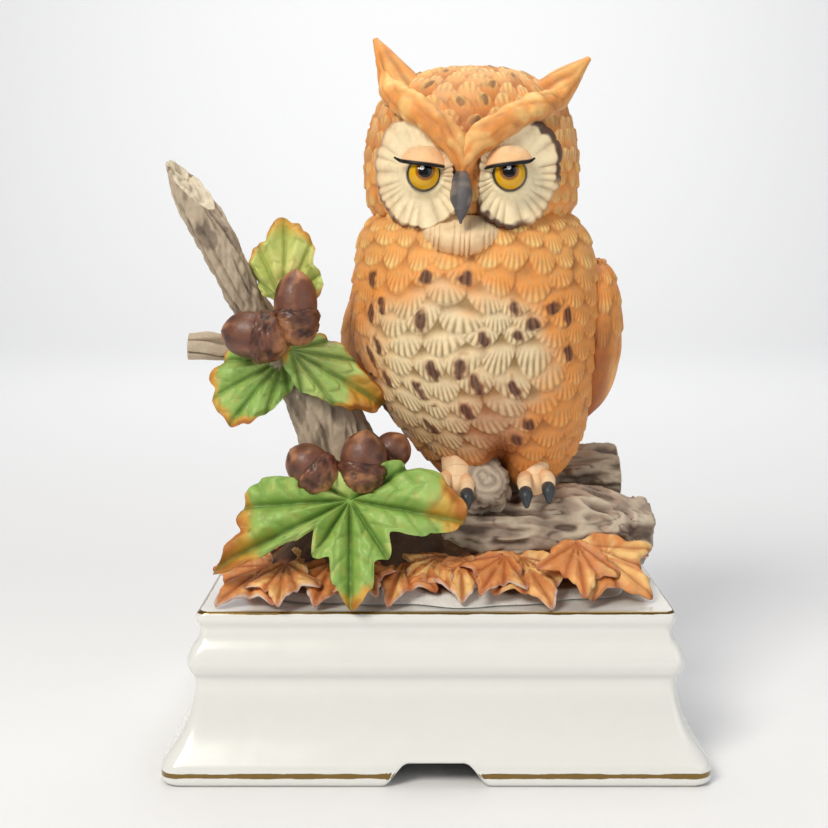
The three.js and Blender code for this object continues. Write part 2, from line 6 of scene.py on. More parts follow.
import bpy
import mathutils
import numpy as np
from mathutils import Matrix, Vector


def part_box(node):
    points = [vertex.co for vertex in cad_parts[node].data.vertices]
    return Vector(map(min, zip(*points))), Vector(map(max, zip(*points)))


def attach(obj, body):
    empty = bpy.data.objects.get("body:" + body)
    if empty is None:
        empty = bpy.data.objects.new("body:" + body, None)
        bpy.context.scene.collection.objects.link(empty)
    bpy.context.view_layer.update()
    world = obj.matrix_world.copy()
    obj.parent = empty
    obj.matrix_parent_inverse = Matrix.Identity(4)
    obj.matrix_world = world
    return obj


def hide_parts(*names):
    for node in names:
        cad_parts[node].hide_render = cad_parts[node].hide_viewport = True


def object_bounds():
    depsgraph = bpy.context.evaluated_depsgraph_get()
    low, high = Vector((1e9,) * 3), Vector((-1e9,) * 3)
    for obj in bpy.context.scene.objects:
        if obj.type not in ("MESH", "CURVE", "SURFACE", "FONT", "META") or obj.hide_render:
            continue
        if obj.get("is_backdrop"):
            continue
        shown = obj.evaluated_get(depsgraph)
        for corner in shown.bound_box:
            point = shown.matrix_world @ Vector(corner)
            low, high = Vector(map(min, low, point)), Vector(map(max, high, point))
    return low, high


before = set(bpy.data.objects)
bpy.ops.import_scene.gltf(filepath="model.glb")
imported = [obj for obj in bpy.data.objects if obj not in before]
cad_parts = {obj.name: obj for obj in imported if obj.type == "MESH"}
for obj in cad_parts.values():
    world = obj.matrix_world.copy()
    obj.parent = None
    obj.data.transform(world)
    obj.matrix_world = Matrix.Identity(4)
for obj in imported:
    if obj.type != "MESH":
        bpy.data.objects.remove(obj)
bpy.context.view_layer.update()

bl_info = {
    "name": "Porcelain Owl",
    "version": (1, 0, 0),
    "blender": (4, 5, 0),
    "location": "View3D > Sidebar > Owl",
    "description": "Models and paints the pieces of a bisque porcelain owl around its CAD frame",
    "category": "Object",
}

MM = 1000.0  # millimetres in a metre: shapes are worked out in millimetres, and meshes are in metres
TURN = 2 * math.pi
FRONT = -math.pi / 2  # the turn about +Z at which a ring faces forwards
CAP_LEANS = np.linspace(0.12, 1.42, 11)  # how far round its rounded end each ring of a limb's cap lies
DICE = np.random.default_rng(11).random(8192)


# ---------------------------------------------------------------- numbers and noise


def rise(values, low=0.0, high=1.0):
    """A smooth step from 0 at low to 1 at high: 3s^2 - 2s^3."""
    share = np.clip((np.asarray(values, float) - low) / (high - low), 0, 1)
    return share * share * (3 - 2 * share)


def dice(cells, seed):
    """A fixed random number from 0 to 1 for each whole-number cell."""
    mixed = cells[..., 0] * 73856093 ^ cells[..., 1] * 19349663 ^ cells[..., 2] * 83492791
    mixed = mixed ^ (seed * 2654435761)
    return DICE[(mixed ^ (mixed >> 13)) & 8191]


def noise(points, size, seed=0):
    """Smooth random values from -1 to 1: dice on a lattice with this spacing, blended by smooth steps."""
    scaled = points / size
    cell = np.floor(scaled).astype(np.int64)
    ease = rise(scaled - cell)
    total = 0
    for corner in itertools.product((0, 1), repeat=3):
        weight = np.prod(np.where(np.array(corner), ease, 1 - ease), axis=-1)
        total = total + weight * dice(cell + np.array(corner), seed)
    return 2 * total - 1


def rough(points, size, seed=0, octaves=3):
    """Noise at several sizes added up, each half the size and half the height of the last."""
    return sum(noise(points, size / 2**k, seed + k) / 2**k for k in range(octaves))


def eased(values, t):
    """Values at even stations, joined by a Catmull-Rom curve; t runs from 0 to 1 over the whole list."""
    values = np.asarray(values, float)
    t = np.asarray(t, float)
    spans = len(values) - 1
    cell = np.clip(np.floor(t * spans).astype(int), 0, spans - 1)
    s = t * spans - cell
    if values.ndim > 1:
        s = s[..., None]
    p, q, r, w = (values[np.clip(cell + k, 0, spans)] for k in (-1, 0, 1, 2))
    slope = 2 * p - 5 * q + 4 * r - w
    return 0.5 * (2 * q + (r - p) * s + slope * s**2 + (3 * q - p - 3 * r + w) * s**3)


def spot(node, x, y, z):
    """A place in millimetres, as shares of a CAD node's box from its low corner to its high corner."""
    low, high = (np.array(corner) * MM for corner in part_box(node))
    return low + (high - low) * np.array([x, y, z])


def spots(node, shares):
    """Several places in one node's box."""
    return np.array([spot(node, *share) for share in shares])


def turned(points, angles):
    """Points turned about X, Y and Z, as the product of the three turns in that order."""
    (a, b, c), (i, j, k) = np.cos(angles), np.sin(angles)
    about_x = np.array([[1, 0, 0], [0, a, -i], [0, i, a]])
    about_y = np.array([[b, 0, j], [0, 1, 0], [-j, 0, b]])
    about_z = np.array([[c, -k, 0], [k, c, 0], [0, 0, 1]])
    return points @ (about_x @ about_y @ about_z).T


# ---------------------------------------------------------------- closed skins


class Skin:
    """A closed surface: points, all faces' corners in one list, how many corners each face has, and marks."""

    def __init__(self, points, corners, counts, marks):
        self.points = points
        self.corners = corners
        self.counts = counts
        self.marks = marks

    def starts(self):
        return np.concatenate([[0], np.cumsum(self.counts)[:-1]])

    def outward(self):
        """The faces turned to point out, so that the volume summed over them comes out positive."""
        starts = self.starts()
        following = np.arange(len(self.corners)) + 1
        following[starts + self.counts - 1] = starts
        middle = self.points.mean(0)
        here = self.points[self.corners] - middle
        there = self.points[self.corners[following]] - middle
        area = np.add.reduceat(np.cross(here, there), starts)
        centre = np.add.reduceat(here, starts) / self.counts[:, None]
        if (area * centre).sum() < 0:
            self.corners = self.corners[::-1]
            self.counts = self.counts[::-1]
        return self


def joined(skins):
    """Several skins as one, with the marks that a skin lacks left at 0."""
    names = sorted({name for skin in skins for name in skin.marks})
    offsets = np.cumsum([0] + [len(skin.points) for skin in skins])
    marks = {
        name: np.concatenate([skin.marks.get(name, np.zeros(len(skin.points))) for skin in skins])
        for name in names
    }
    return Skin(
        np.concatenate([skin.points for skin in skins]),
        np.concatenate([skin.corners + first for skin, first in zip(skins, offsets)]),
        np.concatenate([skin.counts for skin in skins]),
        marks,
    )


def wrapped(grid, looped=False, **marks):
    """A closed skin over rows of points that run once round. Each row joins the next. The first and the last
    row close on a pole in the row's middle, or join each other where the grid is looped."""
    rows, around = grid.shape[:2]
    index = np.arange(rows * around).reshape(rows, around)
    upper = index if looped else index[:-1]
    lower = np.roll(index, -1, axis=0) if looped else index[1:]
    quads = np.stack([upper, np.roll(upper, -1, 1), np.roll(lower, -1, 1), lower], -1).reshape(-1, 4)
    painted = {name: np.broadcast_to(values, (rows, around)).ravel() for name, values in marks.items()}
    if looped:
        return Skin(grid.reshape(-1, 3), quads.ravel(), np.full(len(quads), 4), painted).outward()
    poles = [grid[0].mean(0), grid[-1].mean(0)]
    base = rows * around
    top = np.stack([np.roll(index[0], -1), index[0], np.full(around, base)], -1)
    bottom = np.stack([index[-1], np.roll(index[-1], -1), np.full(around, base + 1)], -1)
    ends = {
        name: np.concatenate([values, [values[index[0]].mean(), values[index[-1]].mean()]])
        for name, values in painted.items()
    }
    corners = np.concatenate([quads.ravel(), top.ravel(), bottom.ravel()])
    counts = np.concatenate([np.full(len(quads), 4), np.full(2 * around, 3)])
    return Skin(np.concatenate([grid.reshape(-1, 3), poles]), corners, counts, ends).outward()


def normals(grid):
    """Unit normals of a grid that is wrapped round its columns: the step along a row crossed with the step to
    the next row, turned to point out."""
    across = np.roll(grid, -1, 1) - np.roll(grid, 1, 1)
    along = np.gradient(grid, axis=0)
    normal = np.cross(across, along)
    normal /= np.linalg.norm(normal, axis=-1, keepdims=True) + 1e-9
    middle = grid.mean((0, 1))
    return normal if (normal * (grid - middle)).sum() > 0 else -normal


def raised(grid, relief):
    """The grid moved out along its normals by the relief."""
    return grid + normals(grid) * relief[..., None]


def put(name, skins, material, slot, *stands_for):
    """Makes a piece from its skins, with their marks as attributes. It rides on the figurine's one body."""
    skin = joined(skins) if isinstance(skins, list) else skins
    mesh = bpy.data.meshes.new(name)
    mesh.vertices.add(len(skin.points))
    mesh.vertices.foreach_set("co", (skin.points / MM).astype(np.float32).ravel())
    mesh.loops.add(len(skin.corners))
    mesh.loops.foreach_set("vertex_index", skin.corners.astype(np.int32))
    mesh.polygons.add(len(skin.counts))
    mesh.polygons.foreach_set("loop_start", skin.starts().astype(np.int32))
    mesh.polygons.foreach_set("use_smooth", np.ones(len(skin.counts), bool))
    mesh.update(calc_edges=True)
    for mark, values in skin.marks.items():
        layer = mesh.attributes.new(mark, "FLOAT", "POINT")
        layer.data.foreach_set("value", values.astype(np.float32))
    mesh.materials.append(material)
    piece = bpy.data.objects.new(name, mesh)
    bpy.context.scene.collection.objects.link(piece)
    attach(piece, "root")
    if stands_for:
        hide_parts(*stands_for)
    return piece


# ---------------------------------------------------------------- shapes


def stack(node, rings):
    """A stack of ovals in a node's box, each given as shares of the box: height, middle across, half width,
    middle in depth, reach forwards, reach back. The returned function gives the point at a turn and a
    height."""
    low, high = (np.array(corner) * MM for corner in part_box(node))
    size = high - low
    heights, *columns = np.array(rings).T
    level = np.linspace(0, 1, 400)
    steps = eased(heights, level)

    def shape(turn, height):
        t = np.interp(height, steps, level)
        x, half, y, forwards, back = (eased(column, t) for column in columns)
        side = np.sin(turn)
        reach = np.where(side < 0, forwards, back)
        return np.stack([
            low[0] + size[0] * (x + half * np.cos(turn)),
            low[1] + size[1] * (y + reach * side),
            low[2] + size[2] * height + 0 * turn,
        ], -1)

    return shape


def bulb(centre, half, turn=(0, 0, 0)):
    """An ellipsoid. The function gives the point at a turn about its upright axis and a height, 0 to 1."""

    def shape(angle, height):
        tilt = math.pi * (np.asarray(height) - 0.5)
        local = np.stack([
            half[0] * np.cos(tilt) * np.cos(angle),
            half[1] * np.cos(tilt) * np.sin(angle),
            half[2] * np.sin(tilt) + 0 * angle,
        ], -1)
        return centre + turned(local, turn)

    return shape


def tube(path, radii, flat=1.0):
    """A tube of changing radius along a smooth path: path(t) + radius(t) * (side cos a + up sin a), where
    side is level. `flat` squeezes it along up."""
    path = np.asarray(path, float)

    def shape(angle, t, swell=0.0):
        middle = eased(path, t)
        ahead = eased(path, np.clip(t + 0.01, 0, 1)) - eased(path, np.clip(t - 0.01, 0, 1))
        ahead /= np.linalg.norm(ahead, axis=-1, keepdims=True)
        side = np.cross(ahead, [0, 0, 1])
        side /= np.linalg.norm(side, axis=-1, keepdims=True)
        up = np.cross(side, ahead)
        radius = (eased(radii, t) + swell)[..., None]
        return middle + radius * (side * np.cos(angle)[..., None] + flat * up * np.sin(angle)[..., None])

    return shape


def limb(path, radii, relief=None, flat=1.0, around=72, along=90, ends=(0.25, 0.25), growth=0.0, **marks):
    """A closed tube with rounded ends. relief(points, t, angle) gives what is added to its radius, and its
    marks. `ends` is how far each end is rounded, as a share of the radius, and `growth` is how dark the
    growth rings on the ends are."""
    shape = tube(path, radii, flat)
    angle = np.linspace(0, TURN, around, endpoint=False)[None, :]
    t = np.linspace(0, 1, along)[:, None] + 0 * angle
    angle = angle + 0 * t
    swell, painted = 0 * t, {}
    if relief is not None:
        swell, painted = relief(shape(angle, t), t, angle)
    painted = {**painted, **{name: value + 0 * t for name, value in marks.items()}}
    body = shape(angle, t, swell)
    caps, caps_marks = [], []
    for end, at_end, before_end in ((ends[0], 0, 1), (ends[1], -1, -2)):
        middle = body[at_end].mean(0)
        out = body[at_end] - body[before_end]
        out = out.mean(0) / (np.linalg.norm(out.mean(0)) + 1e-9)
        radius = np.linalg.norm(body[at_end] - middle, axis=1).mean()
        spoke = body[at_end] - middle
        circle = spoke / np.linalg.norm(spoke, axis=1, keepdims=True) * radius
        lean = CAP_LEANS[:, None, None]
        blend = rise(lean, 0.2, 1.0)
        rounder = (1 - blend) * spoke + blend * circle
        cap = middle + rounder * np.cos(lean) + out * radius * end * np.sin(lean)
        cap_marks = {
            name: (1 - blend[..., 0]) * values[at_end] + blend[..., 0] * values[at_end].mean()
            for name, values in painted.items()
        }
        if growth:
            wobble = 1.1 * np.sin(2 * angle[0]) + 0.8 * np.sin(3 * angle[0] + 4 * lean[..., 0])
            rings = 0.5 + 0.5 * np.cos(15 * lean[..., 0] + wobble)
            cap_marks["wash"] = growth * (blend[..., 0] * rings + (1 - blend[..., 0]))
            cap_marks["light"] = 0.6 + 0 * cap_marks["wash"]
        caps.append(cap)
        caps_marks.append(cap_marks)
    grid = np.concatenate([caps[0][::-1], body, caps[1]])
    all_marks = {
        name: np.concatenate([caps_marks[0][name], values, caps_marks[1][name]])
        for name, values in painted.items()
    }
    return wrapped(grid, **all_marks)


def lathe(foot, tip, profile, around, relief):
    """A profile of (distance out, distance along) turned about the line from foot to tip, in millimetres,
    with relief(out, up, angle) giving what is added to the distance out, and the marks."""
    foot, tip = np.asarray(foot, float), np.asarray(tip, float)
    axis = (tip - foot) / np.linalg.norm(tip - foot)
    side = np.cross(axis, [0.3, 0.9, 0.2])
    side /= np.linalg.norm(side)
    other = np.cross(axis, side)
    t = np.linspace(0, 1, 9 * len(profile))
    out, up = eased(profile, t).T
    angle = np.linspace(0, TURN, around, endpoint=False)[None, :]
    out = np.clip(out, 0.02, None)[:, None] + 0 * angle
    up = up[:, None] + 0 * angle
    change, marks = relief(out, up, angle + 0 * up)
    ring = side * np.cos(angle)[..., None] + other * np.sin(angle)[..., None]
    grid = foot + axis * up[..., None] + ring * (out + change)[..., None]
    return wrapped(grid, **marks)


# ---------------------------------------------------------------- feathers, bark and veins


def feathered(turn, down, counts, grooves=2.9, reach=1.85, wide=0.62, seed=1):
    """Relief and masks of rounded feathers that overlap like roof tiles. `down` counts rows towards the tips,
    and `counts` is how many feathers stand round each row. In each feather s runs across from -1 to 1 and
    t from its root to its tip. It rises as t^0.8, and at each point the highest feather that covers it
    shows. Grooves fan out from the root."""
    turn, down = np.broadcast_arrays(np.asarray(turn, float), np.asarray(down, float))
    row = np.floor(down).astype(int)
    best = np.full(turn.shape, -1.0)
    kept = {name: np.zeros(turn.shape) for name in ("s", "t", "edge", "luck", "middle", "row")}
    for back in (0, 1, 2):
        root = row - back
        number = np.asarray(counts)[np.clip(root, 0, len(counts) - 1)]
        across = turn * number / TURN - 0.5 * (root % 2)
        for beside in (0, 1):
            column = np.floor(across) + beside
            cell = np.stack([root, (column % number).astype(int), 0 * root], -1)
            luck = dice(cell, seed)
            shift = 0.24 * (dice(cell, seed + 1) - 0.5)
            s = (across - column - shift) / wide
            t = (down - root - 0.34 * (dice(cell, seed + 2) - 0.5)) / (reach + 0.2 * (luck - 0.5))
            outline = 1 - 0.5 * np.abs(s) ** 2.3
            edge = np.minimum((outline - t) * reach, (1 - np.abs(s)) * 1.3)
            slope = np.clip(t, 0, None) ** 0.8 * (1 - 0.36 * s * s)
            height = np.where((t >= 0) & (edge > 0), slope * rise(edge, -0.08, 0.24), -1.0)
            wins = height > best
            best = np.where(wins, height, best)
            middle = (column + shift + 0.5 * (root % 2)) * TURN / number
            found = {"s": s, "t": t, "edge": edge, "luck": luck, "middle": middle, "row": root}
            for name, values in found.items():
                kept[name] = np.where(wins, values, kept[name])
    best = np.clip(best, 0, 1)
    fan = kept["s"] * 1.25 / (kept["t"] + 0.25)
    fade = rise(kept["t"], 0.4, 0.75) * rise(kept["edge"], 0, 0.22)
    ridge = 0.5 + 0.5 * np.cos(TURN * grooves * fan + 6 * kept["luck"])
    kept["ridge"] = ridge
    kept["relief"] = best - 0.2 * (1 - ridge) * fade
    # Darker in the grooves, and painted shadow where a feather tucks under the rim of the one above.
    kept["wash"] = np.clip(0.62 * (1 - ridge) ** 2 * fade + 0.75 * rise(0.52 - best, 0, 0.3), 0, 1)
    kept["crest"] = best
    return kept


def stroke(tiles, grid, wide=0.32, tall=0.27):
    """A ragged brush stroke down the middle of a feather: an oval in s and t that leans a little."""
    lean = 0.35 * (tiles["luck"] - 0.5) + 0.3 * (tiles["t"] - 0.7)
    body = 1 - ((tiles["s"] - lean) / wide) ** 2 - ((tiles["t"] - 0.7) / tall) ** 2
    return rise(body + 0.6 * noise(grid, 1.5, 91), 0.1, 0.6) * rise(tiles["edge"], 0, 0.12)


def barked(points, t, angle, depth, stretch, seed):
    """Long grooves: where noise that is drawn out along the limb crosses zero, the bark sinks."""
    ring = np.stack([np.cos(angle), np.sin(angle), t * stretch], -1)
    thin = noise(ring, 0.42, seed)
    broad = noise(ring, 0.9, seed + 5)
    groove = np.exp(-((thin / 0.16) ** 2))
    crack = np.exp(-((broad / 0.1) ** 2)) * rise(noise(points, 11.0, seed + 22), -0.5, 0.4)
    groove = groove * rise(noise(points, 8.0, seed + 21), -0.6, 0.5)
    relief = depth * (0.55 * broad + 0.35 * thin - 0.75 * groove - 0.9 * crack)
    relief = relief + 0.12 * rough(points, 1.6, seed)
    # Darker in the grooves and cracks, a wash with painted shade, and a little uneven all over.
    wash = np.clip(0.75 * groove + 0.9 * crack + 0.2 * rough(points, 7.0, seed + 9), 0, 1)
    return relief, wash


def reach_of(outline, degrees):
    """A leaf's reach at an angle: a list of (degrees, reach), eased between its entries and round the end."""
    angles, far = np.array(outline, float).T
    angles = np.concatenate([angles, angles[:1] + 360])
    far = np.concatenate([far, far[:1]])
    degrees = angles[0] + np.mod(degrees - angles[0], 360)
    cell = np.clip(np.searchsorted(angles, degrees, side="right") - 1, 0, len(angles) - 2)
    share = rise((degrees - angles[cell]) / (angles[cell + 1] - angles[cell]))
    return far[cell] + (far[cell + 1] - far[cell]) * share


def leaf(
    place, turn, outline, veins, stem=(0, 0), droop=0.003, curl=0.0, size=1.0, thick=2.2, depth=1.0, seed=0,
    around=240, rings=30,
):
    """A lobed leaf. In its own plane it reaches as far as its outline says. It sinks along the main veins,
    which fan out from the stem, has faint side veins and puckers between them, bows down by droop *
    reach^2, and lifts towards its rim. A thin underside closes it."""
    angle = np.linspace(0, TURN, around, endpoint=False)[None, :]
    share = (np.linspace(0, 1, rings + 1)[1:, None]) ** 0.8
    degrees = np.degrees(angle)
    far = size * reach_of(outline, degrees)
    far = far * (1 + 0.03 * np.sin(9 * angle + seed) + 0.012 * np.sin(19 * angle + 2 * seed))
    r = share * far
    local = np.stack([r * np.cos(angle), r * np.sin(angle), 0 * r + seed], -1)
    tilt = np.radians(np.array(veins))[:, None, None]
    from_stem = local[..., :2] - np.array(stem)
    heading = np.arctan2(from_stem[..., 1], from_stem[..., 0]) - tilt
    heading = np.arctan2(np.sin(heading), np.cos(heading))
    nearest = np.abs(heading).argmin(0)
    heading = np.take_along_axis(heading, nearest[None], 0)[0]
    out = np.linalg.norm(from_stem, axis=-1)
    off = np.abs(out * np.sin(heading))
    along = out * np.cos(heading)
    main = np.exp(-((off / (0.5 + 0.012 * r)) ** 2)) * (along > 0)
    barb = (along - 0.7 * off) / (5.2 * size**0.5) + 0.4 * noise(local, 6.0, seed)
    second = np.exp(-((np.abs(np.sin(math.pi * barb)) / 0.4) ** 2)) * rise(off, 0.2, 2.0)
    pucker = rise(off, 0, 3.2 * size) * (0.9 + 0.5 * rough(local, 7.0, seed + 3, 2))
    relief = depth * (1.5 * pucker - 0.7 * main - 0.34 * second + 0.2 * rough(local, 2.6, seed + 4, 2))
    rim = rise(share, 0.86, 1.0)
    level = relief - droop * r * r - curl * local[..., 0] ** 2
    level = level + 0.7 * depth * rise(share, 0.6, 0.95) * (0.5 + noise(local, 6.0, seed + 8)) - 0.9 * rim
    top = np.stack([local[..., 0], local[..., 1], level], -1)
    lower = level - thick * (1 - 0.7 * rim)
    under = np.stack([local[..., 0] * 0.985, local[..., 1] * 0.985, lower], -1)[::-1]
    grid = np.concatenate([top, under])
    rays = np.stack([5 * np.cos(angle) + 0 * r, 5 * np.sin(angle) + 0 * r, 0.08 * r + seed], -1)
    # Darker along the sunk veins: a wash with painted shade.
    veined = 0.7 * main + 0.32 * second + 0.25 * rise(2.2 - off, 0, 2.2)
    paint = {
        "wash": np.clip(veined, 0, 1) * rise(share, 0, 0.15),
        "tip": share * rise(far, 0.35 * far.max(), 0.95 * far.max()) + 0 * r,
        "edge": rise(share, 0.8, 1.0) + 0 * r,
        "streaky": noise(rays, 1.0, 3),
    }
    marks = {name: np.concatenate([values, values[::-1]]) for name, values in paint.items()}
    return wrapped(place + turned(grid, turn), **marks)


# ---------------------------------------------------------------- shader nodes


def node(tree, kind, *inputs, **options):
    """One shader node. Inputs are constants or sockets, in order or by name. Options are its settings."""
    made = tree.nodes.new("ShaderNode" + kind)
    wanted = dict(enumerate(inputs))
    for name, value in options.items():
        if hasattr(made, name):
            setattr(made, name, value)
        else:
            wanted[name.replace("_", " ")] = value
    for key, value in wanted.items():
        if isinstance(value, bpy.types.NodeSocket):
            tree.links.new(value, made.inputs[key])
        elif value is not None:
            made.inputs[key].default_value = value
    return made


def maths(tree, operation, first, second=0.0, clamp=False):
    return node(tree, "Math", first, second, operation=operation, use_clamp=clamp).outputs[0]


def mixed(tree, factor, first, second):
    """Two colours mixed by a factor."""
    made = node(tree, "Mix", data_type="RGBA")
    for key, value in ((0, factor), (6, first), (7, second)):
        if isinstance(value, bpy.types.NodeSocket):
            tree.links.new(value, made.inputs[key])
        else:
            made.inputs[key].default_value = value
    return made.outputs[2]


def speckle(tree, size, detail=2.0):
    """Noise over the object's own coordinates, with features of this size in millimetres."""
    where = node(tree, "TexCoord").outputs["Object"]
    return node(tree, "TexNoise", Vector=where, Scale=MM / size, Detail=detail).outputs["Fac"]


def mark(tree, name):
    return node(tree, "Attribute", attribute_name=name).outputs["Fac"]


def group(name, sockets_in, sockets_out, fill):
    """A node group, built once. Sockets are (name, kind, default). fill(tree, inputs, outputs) links it."""
    made = bpy.data.node_groups.get(name)
    if made:
        return made
    made = bpy.data.node_groups.new(name, "ShaderNodeTree")
    for way, listed in (("INPUT", sockets_in), ("OUTPUT", sockets_out)):
        for label, kind, default in listed:
            socket = made.interface.new_socket(label, in_out=way, socket_type="NodeSocket" + kind)
            if default is not None:
                socket.default_value = default
    fill(made, made.nodes.new("NodeGroupInput").outputs, made.nodes.new("NodeGroupOutput").inputs)
    return made


def placed(tree, made, **sockets):
    """The group set in a material's tree."""
    holder = tree.nodes.new("ShaderNodeGroup")
    holder.node_tree = made
    for name, value in sockets.items():
        if isinstance(value, bpy.types.NodeSocket):
            tree.links.new(value, holder.inputs[name])
        else:
            holder.inputs[name].default_value = value
    return holder.outputs


def brushed_paint():
    """A mask with the soft, frayed edge of a brush stroke."""

    def fill(tree, inputs, outputs):
        frayed = maths(tree, "MULTIPLY_ADD", speckle(tree, 2.6, 4.0), inputs["Fray"])
        frayed.node.inputs[2].default_value = 0.0
        shifted = maths(tree, "SUBTRACT", frayed, maths(tree, "MULTIPLY", inputs["Fray"], 0.5))
        added = maths(tree, "ADD", inputs["Mask"], shifted, clamp=True)
        tree.links.new(maths(tree, "MULTIPLY", added, inputs["Strength"], clamp=True), outputs["Mask"])

    ins = [("Mask", "Float", 0.0), ("Fray", "Float", 0.3), ("Strength", "Float", 1.0)]
    return group("Brushed paint", ins, [("Mask", "Float", None)], fill)


def hollow_wash_and_shade():
    """Thin, uneven dark colour in the hollows: a pooled wash and painted shade."""

    def fill(tree, inputs, outputs):
        uneven = maths(tree, "MULTIPLY_ADD", speckle(tree, 3.5, 3.0), 1.1)
        uneven.node.inputs[2].default_value = 0.35
        depth = maths(tree, "MULTIPLY", inputs["Depth"], uneven, clamp=True)
        depth = maths(tree, "MULTIPLY", depth, inputs["Strength"], clamp=True)
        tree.links.new(mixed(tree, depth, inputs["Colour"], inputs["Wash"]), outputs["Colour"])

    grey = (0.5, 0.5, 0.5, 1.0)
    ins = [("Colour", "Color", grey), ("Wash", "Color", grey), ("Depth", "Float", 0.0),
           ("Strength", "Float", 0.7)]
    return group("Hollow wash and shade", ins, [("Colour", "Color", None)], fill)


def bisque_grain():
    """Unglazed porcelain: faint mottling of the colour, uneven roughness and a fine grain."""

    def fill(tree, inputs, outputs):
        broad = maths(tree, "SUBTRACT", speckle(tree, 5.0, 3.0), 0.5)
        fine = maths(tree, "SUBTRACT", speckle(tree, 0.9, 2.6), 0.5)
        grains = maths(tree, "ADD", broad, maths(tree, "MULTIPLY", fine, 0.5))
        value = maths(tree, "ADD", maths(tree, "MULTIPLY", grains, inputs["Mottle"]), 1.0)
        shaded = node(tree, "HueSaturation", Color=inputs["Colour"], Value=value)
        tree.links.new(shaded.outputs[0], outputs["Colour"])
        sheen = maths(tree, "ADD", inputs["Roughness"], maths(tree, "MULTIPLY", broad, 0.25), clamp=True)
        tree.links.new(sheen, outputs["Roughness"])
        tree.links.new(maths(tree, "ADD", speckle(tree, 0.35, 2.0), fine), outputs["Height"])

    grey = (0.5, 0.5, 0.5, 1.0)
    ins = [("Colour", "Color", grey), ("Mottle", "Float", 0.3), ("Roughness", "Float", 0.6)]
    outs = [("Colour", "Color", None), ("Roughness", "Float", None), ("Height", "Float", None)]
    return group("Bisque grain", ins, outs, fill)


def linear(colour):
    """A screen colour as linear light, with full alpha."""
    values = np.array(colour[:3])
    light = np.where(values <= 0.04045, values / 12.92, ((values + 0.055) / 1.055) ** 2.4)
    return (*light, 1.0)


def painted(
    name, base, layers=(), wash=None, wash_and_shade_strength=0.7, mottle=0.3, roughness=0.6, bump=0.08, coat=0.0,
    specular=0.35,
):
    """A hand-painted finish: a base colour, brushed layers of (mark, colour, strength, fray), a wash with
    painted shade in the hollows and the grain of the body under it. `bump` is the grain's height in
    millimetres."""
    material = bpy.data.materials.new(name)
    material.use_nodes = True
    tree = material.node_tree
    shader = tree.nodes["Principled BSDF"]
    colour = linear(base)
    for layer, tone, strength, fray in layers:
        brushed = placed(tree, brushed_paint(), Mask=mark(tree, layer), Fray=fray, Strength=strength)
        colour = mixed(tree, brushed["Mask"], colour, linear(tone))
    if wash is not None:
        pooled = placed(tree, hollow_wash_and_shade(), Colour=colour, Wash=linear(wash), Depth=mark(tree, "wash"),
                        Strength=wash_and_shade_strength)
        colour = pooled["Colour"]
    grain = placed(tree, bisque_grain(), Colour=colour, Mottle=mottle, Roughness=roughness)
    tree.links.new(grain["Colour"], shader.inputs["Base Color"])
    tree.links.new(grain["Roughness"], shader.inputs["Roughness"])
    relief = node(tree, "Bump", Strength=1.0, Distance=bump / MM, Height=grain["Height"])
    tree.links.new(relief.outputs[0], shader.inputs["Normal"])
    shader.inputs["Coat Weight"].default_value = coat
    shader.inputs["Coat Roughness"].default_value = 0.12
    shader.inputs["Specular IOR Level"].default_value = specular
    return material


# ---------------------------------------------------------------- what a user may change


def tone(label, description, *colour):
    return bpy.props.FloatVectorProperty(
        name=label, description=description, default=colour, size=3, min=0, max=1, subtype="COLOR_GAMMA"
    )


def length(label, description, millimetres):
    return bpy.props.FloatProperty(
        name=label, description=description, default=millimetres / MM, min=0, unit="LENGTH",
        subtype="DISTANCE"
    )


class OwlSizes(bpy.types.PropertyGroup):
    """Sizes of the modelled detail."""

    feather_rise: length("Feather rise", "How far the tip of a body feather stands proud", 1.6)
    crown_rise: length("Crown rise", "How far the tip of a head feather stands proud", 1.3)
    wing_rise: length("Wing rise", "How far the tip of a wing feather stands proud", 1.5)
    feather_width: length("Feather width", "Width of one body feather", 9.8)
    bark_depth: length("Bark depth", "Depth of the grooves in the logs and the branch", 1.5)
    vein_depth: length("Vein depth", "Scale of the veins and puckers of the leaves", 1.25)
    disc_groove: length("Disc groove", "Depth of the grooves in the face discs", 1.0)
    gilding_width: length("Gilding width", "Width of the gold lines on the plinth", 1.1)
    floor_width: length("Floor width", "Width of the floor under the figurine", 6000)


